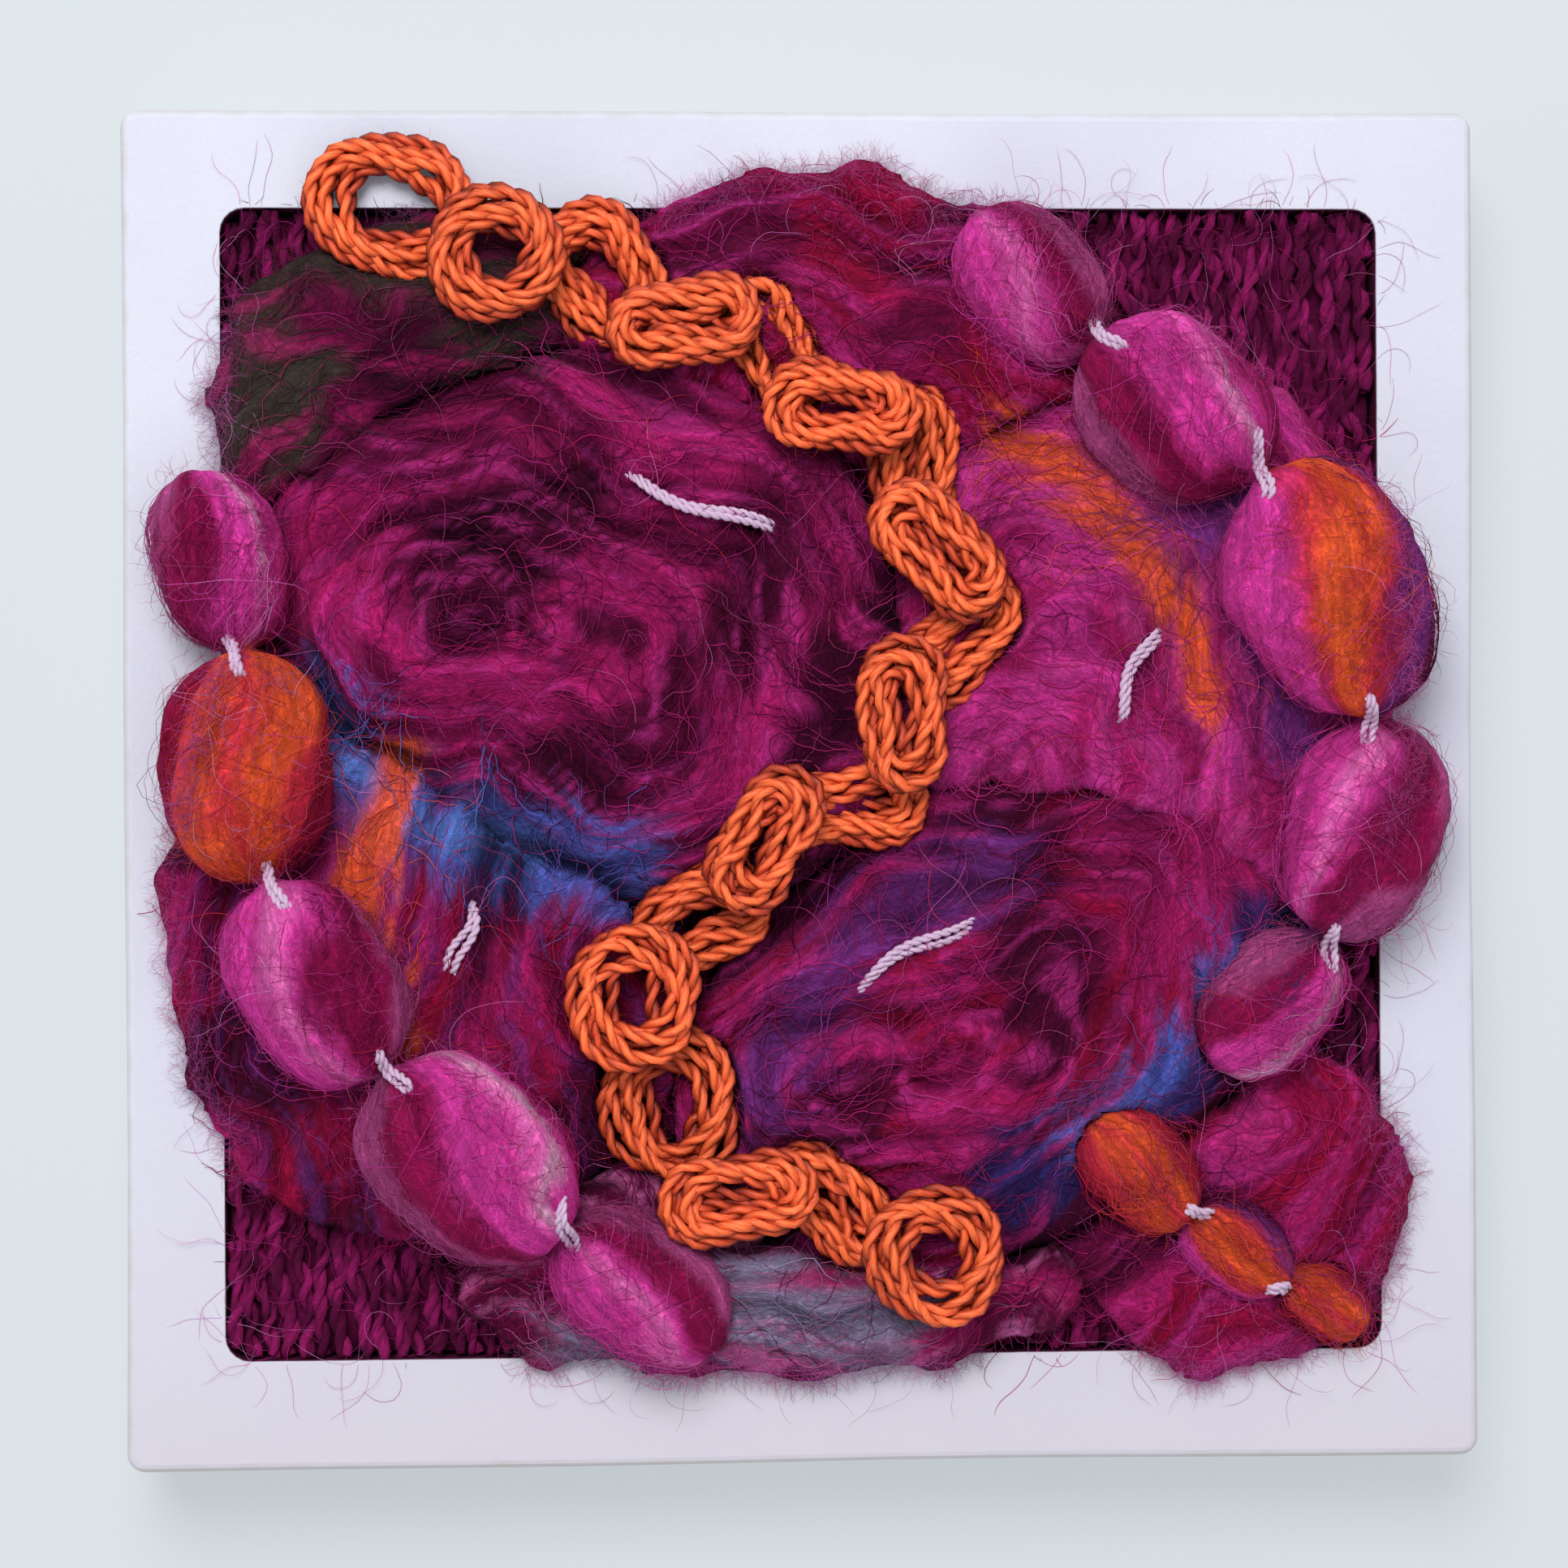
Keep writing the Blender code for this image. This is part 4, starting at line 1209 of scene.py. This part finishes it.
def bare_necks(name):
    """The core thread where it shows: it leaves one bead, crosses the neck and dives into the next."""
    choose = np.random.default_rng(len(name))
    tree = tree_of([beads[name].data])[0]
    route, radii, _ = run_of(name)
    along = lengths_along(route)
    left, _ = frames_along(route)
    plies = []
    for neck in range(2 * BEAD_STEPS, len(route) - 1, 2 * BEAD_STEPS):
        shown = NECK_SHOWN * min(radii[neck - BEAD_STEPS], radii[neck + BEAD_STEPS])
        here = along[neck] + choose.uniform(-0.25, 0.25) * shown
        marks = np.arange(here - shown, here + shown, 0.2)
        thick = np.interp(marks, along, radii)
        dip = NECK_DIP * (np.abs(marks - here) / shown) ** 6
        angle = choose.uniform(-0.5, 0.5) + choose.uniform(-0.25, 0.25) * (marks - here)
        aside = (np.sin(angle) * taut(thick, thick, NECK_PULL))[:, None]
        middle = read_along(marks, along, route) + read_along(marks, along, left) * aside
        tops = surface_heights(tree, middle)
        middle[:, 2] = taut(tops, tops, NECK_PULL) + NECK_RISE - dip
        plies.extend(core_strands(middle, neck))
    core_piece(name + "_core", plies)


beads = {name: spin_beads(name) for name in SLUB_RUNS}
for name in SLUB_RUNS:
    bare_necks(name)
print("beads:", sum(len(run.data.polygons) for run in beads.values()), "faces")

# %% [markdown]
# ## The ground
#
# Under everything is a cloth of thick plum yarn, stretched flat in the recess. The cloth itself is a thin
# sheet. Its low ribs are drawn by the streaks of its finish and by stripes of painted light and shade, and
# the whole sheet is painted darker, as shade under its yarns. Where nothing covers it, at two corners and
# along the window's edges, its twisted yarns are laid on as real plies, a little slanted and uneven, as they
# show there.

# %% Stretch the cloth
CLOTH_WIDTH = 84.8
CLOTH_HEIGHT = 83.95
CLOTH_Y = WINDOW_Y
CLOTH_LEVEL = 9.7
CLOTH_THICKNESS = 1.2
CORNER_DRAW = 0.012  # how far the cloth's corners are drawn in
RIB = 1.35  # from one rib to the next
RIB_SLANT = 0.10
GROUND_BRIGHT = dye(150, 28, 98)
GROUND_DEEP = dye(88, 13, 56)

ribbed = wool_finish("ground_cloth_yarn", strand=3.4, tuft=1.2, contrast=0.26, tangle=0.22, bump=0.6)
cloth_mesh = bpy.data.meshes.new("ground_cloth_sheet")
shape = bmesh.new()
bmesh.ops.create_grid(shape, x_segments=52, y_segments=46, size=0.5)
bmesh.ops.scale(shape, vec=(CLOTH_WIDTH * MM, CLOTH_HEIGHT * MM, 1), verts=shape.verts)
bmesh.ops.translate(shape, vec=(0, CLOTH_Y * MM, CLOTH_LEVEL * MM), verts=shape.verts)
shape.to_mesh(cloth_mesh)
shape.free()
cloth_places = corners_of(cloth_mesh)
half_size = (CLOTH_WIDTH / 2, CLOTH_HEIGHT / 2)
to_corner = (np.abs(cloth_places[:, :2] - (0, CLOTH_Y)) / half_size).sum(axis=1)  # 2 at a corner
cloth_places[:, :2] *= 1 - CORNER_DRAW * smooth(to_corner, 1.93, 2.0)[:, None]
cloth_places[:, 2] += 0.25 * drift(cloth_places[:, :2], 5, 51)
put_corners(cloth_mesh, cloth_places)
cloth_mesh = applied(cloth_mesh, ("SOLIDIFY", {"thickness": CLOTH_THICKNESS * MM, "offset": -1.0}))
cloth_places = corners_of(cloth_mesh)
across_ribs = (cloth_places[:, 0] + RIB_SLANT * cloth_places[:, 1]) / RIB
cloth_lay = np.column_stack((across_ribs, 0.1 * cloth_places[:, 1], 0.2 * cloth_places[:, 2]))
# Painted light and shade: lighter on each rib, darker between, and all darker as shade under the yarns.
cloth_dye_with_painted_shade = mix(GROUND_DEEP * 0.6, GROUND_BRIGHT * 0.6, 0.5 + 0.5 * np.sin(across_ribs * 2 * math.pi))
put_lay_and_shade(cloth_mesh, cloth_lay, cloth_dye_with_painted_shade)
cloth = new_piece("ground_cloth_sheet", cloth_mesh, ribbed)
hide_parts("ground_cloth")

# %% Lay its yarns where they show
YARN_PLY = 0.38
YARN_REACH = 0.3
YARN_PITCH = 4.4
YARN_LEVEL = 10.35
YARN_SIDE = 42.1  # as far out as a yarn can lie, against the wall
YARN_FOOT = -41.7
YARN_TOP = 42.6
WALL_SIDE = 42.35  # the cloth rides up a little where it meets these walls
WALL_FOOT = -41.5
WALL_TOP = 42.4
TUCK = 1.6  # how far a yarn runs on under the wool


def showing(places):
    """True where the ground shows, or is at most a tuck away from where it does."""
    seen = np.zeros(len(places), bool)
    for x, y in ((0, 0), (TUCK, 0), (-TUCK, 0), (0, TUCK), (0, -TUCK)):
        seen |= read_nearest(bed_tops, places[:, :2] + (x, y)) == GROUND
    return seen


def ground_yarns():
    """The plies of the cloth's yarns wherever they show: their routes, radii and dyes."""
    choose = np.random.default_rng(61)
    routes, radii, shades = [], [], []
    y = np.append(np.arange(YARN_FOOT, YARN_TOP - 0.2, 0.5), YARN_TOP)
    for number, column in enumerate(np.arange(-51.0, 46.1, RIB)):
        x = column + RIB_SLANT * (20 - y) + 0.3 * drift(y[:, None], 6, 70 + number)
        x += 0.16 * drift(y[:, None], 1.8, 270 + number)
        beyond = np.abs(x) > YARN_SIDE + 0.75 * RIB
        x = np.clip(x, -YARN_SIDE, YARN_SIDE)
        to_edge = np.min((WALL_SIDE - np.abs(x), WALL_TOP - y, y - WALL_FOOT), axis=0)
        z = YARN_LEVEL + 0.4 * drift(y[:, None], 2.6, 170 + number) + 0.5 * smooth(-to_edge, -1.6, -0.3)
        route = np.column_stack((x, y, z))
        seen = showing(route) & ~beyond
        edges = np.flatnonzero(np.diff(np.concatenate(([0], seen, [0]))))
        for start, end in zip(edges[::2], edges[1::2]):
            if end - start >= 6:
                plies = plied(route[start:end], 2, YARN_REACH, YARN_PITCH * choose.uniform(0.85, 1.2),
                              choose.uniform(0, 6))
                routes.extend(plies)
                for ply in plies:
                    thick = YARN_PLY * choose.uniform(0.8, 1.05)
                    radii.append(thick * (1 + 0.15 * drift(ply[:, :2], 1.6, 64)))
                    tone_share = 0.5 + 0.45 * drift(ply[:, :2], (1.4, 3.0), 65) + choose.uniform(-0.3, 0.3)
                    shades.append(mix(GROUND_DEEP, GROUND_BRIGHT, smooth(tone_share, 0.1, 1.0)))
    return routes, radii, shades


routes, radii, shades = ground_yarns()
yarns = tube_piece("ground_cloth_yarns", routes, radii, 6, shades, ribbed, slant=1.4,
                   girth=0.9)
print("ground yarns:", len(routes), "plies,", len(yarns.data.polygons), "faces")

# %% [markdown]
# ## Loose fibres
#
# What makes wool look like wool is the fibre that has come free of the surface. Each one here is a real
# tube of three sides: it starts at a random place, walks along the strands with a crimp, and hangs over
# what is under it like a taut thread. Fewer, finer ones stray over the frame's edge as a soft haze.

# %% Comb the fibres
QUICK_SHARE = 1.0
FIBRE_POINTS = 12
FIBRE_STEP = 0.6
FIBRE_RADIUS = 0.035
FIBRE_CLEARANCE = 0.02
FIBRES_PER_MM2 = 0.6
FIBRE_SKEW = 0.5  # radians off the strands, as a spread
FIBRE_WANDER = 0.16  # and how much that changes at each step
FIBRE_LIGHT = 0.16  # how much lighter than the wool under it, and how much that varies, as logarithms
FIBRE_CONTRAST = 0.2
OTHER_DYES = ((HOT, 0.14), (CRIMSON, 0.12), (ROSE * 0.8, 0.04))  # and the share of fibres that lean to each
CRIMP = 0.3
CRIMP_LENGTHS = (1.9, 3.4, 7.0)

fibre_wool = thread_finish("single_wool_fibres", roughness=0.85, sheen=0.0, contrast=0.15)
surface_of(fibre_wool).inputs["Specular IOR Level"].default_value = 0.06


def crimped(places, choose):
    """Adds the wave of a wool fibre, to its side in plan."""
    count, points = places.shape[:2]
    side = to_left(unit(np.gradient(places, axis=1)))
    along = np.arange(points) * FIBRE_STEP
    wave = np.zeros((count, points))
    for length in CRIMP_LENGTHS:
        phase = choose.uniform(0, 6.3, (count, 1))
        size = choose.uniform(0.2, 1.0, (count, 1)) * CRIMP * length / 4
        lengths = length * choose.uniform(0.7, 1.4, (count, 1))
        wave += size * np.sin(2 * math.pi * along / lengths + phase)
    return places + side * wave[..., None]


def varied(shades, choose):
    """Each fibre takes the dye a little lighter or darker, and some lean to another dye."""
    count = len(shades)
    shades = shades * np.exp(choose.normal(FIBRE_LIGHT, FIBRE_CONTRAST, (count, 1)))
    for colour, share in OTHER_DYES:
        picked = choose.random(count) < share
        shades[picked] = mix(shades[picked], colour, 0.35)
    return np.clip(shades, 0.002, 0.85)


def fibre_piece(name, routes, radius, shades):
    """Fibres as one piece, of one radius or of one each. They are finer at both ends."""
    points = routes.shape[1]
    taper = np.minimum(1, 0.35 + np.minimum(np.arange(points), np.arange(points)[::-1]) / 3)
    radii = [thick * taper for thick in np.broadcast_to(radius, len(routes))]
    tube_piece(name, list(routes), radii, 3, list(shades), fibre_wool, slant=0.5)


def comb_fibres(number, name, fleece):
    """One mound's fibres, as many as the part of it that shows has room for."""
    choose = np.random.default_rng(700 + number)
    own = FIRST_MOUND + number
    count = int(np.sum(bed_tops == own) * CELL**2 * FIBRES_PER_MM2 * QUICK_SHARE)
    box = np.array([tuple(corner[:2]) for corner in mounds[name].bound_box]) / MM
    starts = choose.uniform(box.min(axis=0), box.max(axis=0), (count * 6, 2))
    starts = starts[read_nearest(bed_tops, starts) == own][:count]
    stray = choose.normal(0, FIBRE_SKEW, len(starts))
    way = np.where(choose.random(len(starts)) < 0.5, 1.0, -1.0)
    places = [starts]
    for _ in range(FIBRE_POINTS - 1):
        heading = heading_at(fleece, places[-1]) * way[:, None]
        stray = stray + choose.normal(0, FIBRE_WANDER, len(starts))
        places.append(places[-1] + FIBRE_STEP * turned(heading, stray))
    plan = crimped(np.stack(places, 1), choose)
    ground = read_grid(bed, plan)
    hover = choose.gamma(1.5, 0.09, (len(plan), 1)) + FIBRE_CLEARANCE
    heights = taut(ground + hover, ground + FIBRE_CLEARANCE, 12)
    routes = np.concatenate((plan, heights[..., None]), -1)
    shades = varied(painted_hollow_shade_at(fleece, starts), choose)
    kept = (read_nearest(bed_tops, plan) >= GROUND).mean(axis=1) > 0.6
    fibre_piece(name + "_fibres", routes[kept], FIBRE_RADIUS, shades[kept])
    print(f"{name}: {kept.sum()} fibres")


for number, (name, fleece) in enumerate(FLEECES.items()):
    comb_fibres(number, name, fleece)

# %% [markdown]
# The beads get their own fibres. They run from neck to neck with the bands, and take the dye of the band
# that they lie on.

# %% Comb the beads
BEAD_FIBRES_PER_MM = 12
STRAY_SHARE = 0.4  # of the fibres lie loose across the bead
BEAD_FLANK = 1.9  # radians from a bead's top down to its lowest fibres
BEAD_FIBRE_HALF = (2.0, 5.5)  # half the length of the shortest and the longest
NECK_CLEARANCE = 0.3


def comb_beads(number, name):
    """One run's fibres. Some follow the bands closely, and some lie loose across them."""
    choose = np.random.default_rng(800 + number)
    route, radii, _ = run_of(name)
    along = lengths_along(route)
    left, _ = frames_along(route)
    necks = along[::2 * BEAD_STEPS]
    routes, shades, loose = [], [], []
    count = int(along[-1] * BEAD_FIBRES_PER_MM * QUICK_SHARE)
    for start in choose.uniform(0, along[-1], count):
        bead = min(int(np.searchsorted(necks, start)) - 1, len(necks) - 2)
        first, last = necks[bead] + NECK_CLEARANCE, necks[bead + 1] - NECK_CLEARANCE
        half = choose.uniform(*BEAD_FIBRE_HALF)
        marks = np.linspace(max(first, start - half), min(last, start + half), FIBRE_POINTS)
        if marks[-1] - marks[0] < 2:
            continue
        stray = choose.random() < STRAY_SHARE
        skew = choose.uniform(-BEAD_FLANK, BEAD_FLANK), choose.normal(0, 0.3 if stray else 0.09)
        angle = skew[0] + skew[1] * (marks - start)
        for size in (0.09, 0.05, 0.03):
            angle = angle + size * np.sin(marks * choose.uniform(0.07, 0.25) / size + choose.uniform(0, 6))
        hover = choose.gamma(2.0, 0.24) if stray else 0.03 + choose.gamma(1.2, 0.08)
        hover = hover * (1 + 0.6 * np.sin(marks * choose.uniform(0.5, 1.4) + choose.uniform(0, 6)))
        radius = np.interp(marks, along, radii) + np.maximum(hover, FIBRE_CLEARANCE)
        twisted = angle - BEAD_TWIST * math.pi * (marks - start)
        aside = (np.sin(twisted) * radius)[:, None]
        above = (np.cos(twisted) * radius * SLUB_SQUASH)[:, None]
        routes.append(read_along(marks, along, route) + read_along(marks, along, left) * aside
                      + above * (0, 0, 1))
        around = angle[len(angle) // 2] / math.pi + BEAD_TWIST * float(from_middle(route, start))
        shades.append(bead_shade(name, np.array([bead]), np.array([around]), np.array([start]))[0])
        loose.append(stray)
    fineness = np.where(loose, 0.6, 1.0)
    fibre_piece(name + "_fibres", np.array(routes), FIBRE_RADIUS * fineness,
                varied(np.array(shades), choose))


for number, name in enumerate(SLUB_RUNS):
    comb_beads(number, name)
print("bead fibres combed")

# %% [markdown]
# Last come the strays: curling fibres that leave the wool and lie over the frame, the wool and the ground,
# and the short fuzz on the edges of the wool and on the flanks of the beads and the thread. They are finer
# than the rest, so that they read as a haze and not as hairs.

# %% Scatter the strays
STRAY_REACH = 49.4  # none gets as far as the frame's outer edge
Fuzz = namedtuple("Fuzz", "count radius points step bend lift seed over_thread", defaults=[0.1])
FUZZ = {
    "fuzz_on_wool_edges": Fuzz(7400, 0.017, 4, 0.62, 0.55, 0.12, 903),
    "fuzz_on_beads": Fuzz(1500, 0.018, 5, 0.5, 0.5, 0.16, 906),
    "fuzz_on_thread": Fuzz(1000, 0.015, 4, 0.35, 0.5, 0.1, 908, over_thread=1.1),
    "strays_over_frame": Fuzz(440, 0.015, 13, 0.5, 0.3, 0.16, 901),
    "strays_over_wool": Fuzz(240, 0.025, 16, 0.55, 0.26, 0.1, 902),
    "fuzz_on_ground": Fuzz(380, 0.02, 8, 0.4, 0.3, 0.06, 904),
}


def wanted(name):
    return int(FUZZ[name].count * QUICK_SHARE)


def curling(starts, headings, kind, choose):
    """Plans of fibres that set off in a heading and keep curling."""
    angle = np.arctan2(headings[:, 1], headings[:, 0])
    curl = choose.normal(0, kind.bend, len(starts))
    places = [starts]
    for _ in range(kind.points - 1):
        curl = 0.8 * curl + choose.normal(0, kind.bend * 0.5, len(starts))
        angle = angle + curl
        places.append(places[-1] + kind.step * np.stack((np.cos(angle), np.sin(angle)), -1))
    return np.stack(places, 1)


full, full_tops = height_grid([*bed_meshes, *[piece.data for piece in beads.values()],
                               *[piece.data for piece in (yarns, *stitches, *loops)]])
FIRST_LOOP = len(bed_meshes) + len(beads) + 1 + len(stitches)


def scatter(name, starts, headings, shades):
    """Fibres of a kind as one piece. Each lies on what is under it, and never falls steeply."""
    kind = FUZZ[name]
    choose = np.random.default_rng(kind.seed)
    plan = curling(starts, headings, kind, choose)
    ground = read_grid(full, plan)
    heights = taut(ground + choose.gamma(1.5, kind.lift, (len(plan), 1)), ground + FIBRE_CLEARANCE, 20)
    fall = choose.uniform(0.1, 0.7, (len(plan), 1)) * kind.step * np.arange(kind.points)
    heights = np.maximum(heights, heights[:, :1] - fall)
    on_thread = (read_nearest(full_tops, plan) >= FIRST_LOOP).mean(axis=1)
    kept = (np.abs(plan).max(axis=(1, 2)) < STRAY_REACH) & (on_thread < kind.over_thread)
    routes = np.concatenate((plan, heights[..., None]), -1)[kept]
    fibre_piece(name, routes, kind.radius, varied(shades, choose)[kept])


def rim_starts(count, choose):
    """Places just inside the window's edge where wool or a bead stands, and the way out from each."""
    places = choose.uniform(-1, 1, (count * 3, 2)) * 42
    rows, axis = np.arange(len(places)), choose.integers(0, 2, len(places))
    edge = np.where(choose.random(len(places)) < 0.5, -1.0, 1.0)
    places[rows, axis] = edge * (WALL_TOP - choose.gamma(1.2, 1.3, len(places)))
    out = np.zeros_like(places)
    out[rows, axis] = edge
    out += choose.normal(0, 0.9, out.shape)
    raised = read_nearest(full_tops, places) >= FIRST_MOUND
    return places[raised][:count], out[raised][:count]


def edge_starts(count, choose):
    """Places where wool ends, most of them over the frame, and the way out from each."""
    covered = softened((bed_tops >= FIRST_MOUND).astype(float), 4)
    places = choose.uniform(-47, 47, (count * 40, 2))
    inside = read_nearest(bed_tops, places) >= FIRST_MOUND
    slope = slope_of(lambda place: read_grid(covered, place), places, 0.8)
    steep = np.linalg.norm(slope, axis=1)
    likely = (np.abs(places).max(axis=1) > 41) | (choose.random(len(places)) < 0.35)
    picked = np.flatnonzero(inside & (steep > 0.25) & likely)[:count]
    out = -slope[picked] / steep[picked, None] + choose.normal(0, 1.3, (len(picked), 2))
    return places[picked], out


choose = np.random.default_rng(899)
starts, headings = edge_starts(wanted("fuzz_on_wool_edges"), choose)
owners = read_nearest(bed_tops, starts) - FIRST_MOUND
fleeces = list(FLEECES.values())
edge_shades = np.stack([shade_at(fleeces[owner], start[None])[0] for owner, start in zip(owners, starts)])
# Painted light: where it lies over the white frame, the fuzz is made lighter and pinker, as if lit through.
over_frame = smooth(np.abs(starts).max(axis=1), 40, 43)
edge_shades = mix(edge_shades * (1.1 + 0.3 * over_frame)[:, None], HAZE, 0.5 * over_frame)
scatter("fuzz_on_wool_edges", starts, headings, edge_shades)


def flank_starts(pieces, count, choose):
    """Random vertices of these pieces that face sideways, the way out from each, and their dyes."""
    places = np.vstack([corners_of(piece.data) for piece in pieces])
    normals = np.vstack([normals_of(piece.data) for piece in pieces])
    shades = np.vstack([shade_of(piece.data)[:, :3] for piece in pieces])
    flank = np.flatnonzero((normals[:, 2] > 0.05) & (normals[:, 2] < 0.75))
    picked = choose.choice(flank, count)
    return places[picked, :2], normals[picked, :2], shades[picked]


choose = np.random.default_rng(905)
starts, headings, flank_shades = flank_starts(list(beads.values()), wanted("fuzz_on_beads"), choose)
headings = unit(headings) + choose.normal(0, 0.8, headings.shape)
scatter("fuzz_on_beads", starts, headings, mix(flank_shades, ROSE, 0.15))

choose = np.random.default_rng(907)
starts, headings, _ = flank_starts(loops, wanted("fuzz_on_thread"), choose)
thread_shades = np.tile(THREAD_SHADE * 0.7, (len(starts), 1))
scatter("fuzz_on_thread", starts, headings + choose.normal(0, 0.3, headings.shape), thread_shades)

choose = np.random.default_rng(900)
starts, headings = rim_starts(wanted("strays_over_frame"), choose)
rim_shades = np.array([HOT * 1.4, HAZE, HOT * 1.2, 0.5 * (HAZE + PALE)])[choose.integers(0, 4, len(starts))]
scatter("strays_over_frame", starts, headings, rim_shades)

starts = choose.uniform(-41, 41, (wanted("strays_over_wool"), 2))
beside = [start + np.subtract(end, start) * choose.random((14, 1)) + choose.normal(0, 1.2, (14, 2))
          for start, end in STITCHES.values()]
starts = np.vstack((starts, *beside))
stray_shades = np.array([HOT, MAGENTA, HOT, EMBER, ROSE * 0.7])[choose.integers(0, 5, len(starts))]
scatter("strays_over_wool", starts, choose.normal(0, 1, starts.shape), stray_shades)

bare = choose.uniform(-42, 42, (6000, 2))
bare = bare[read_nearest(bed_tops, bare) == GROUND][:wanted("fuzz_on_ground")]
bare_shades = mix(GROUND_DEEP, GROUND_BRIGHT * 1.2, choose.random(len(bare)))
scatter("fuzz_on_ground", bare, choose.normal(0, 1, bare.shape) + (0.1, 1.6), bare_shades)
print("strays scattered")

# %% [markdown]
# ## Count
#
# A last look at the numbers: the triangles shown, in all.

# %% Count the triangles
total = 0
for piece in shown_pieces():
    if piece.type == "MESH":
        total += sum(len(face.vertices) - 2 for face in piece.data.polygons)
print("triangles shown:", total)
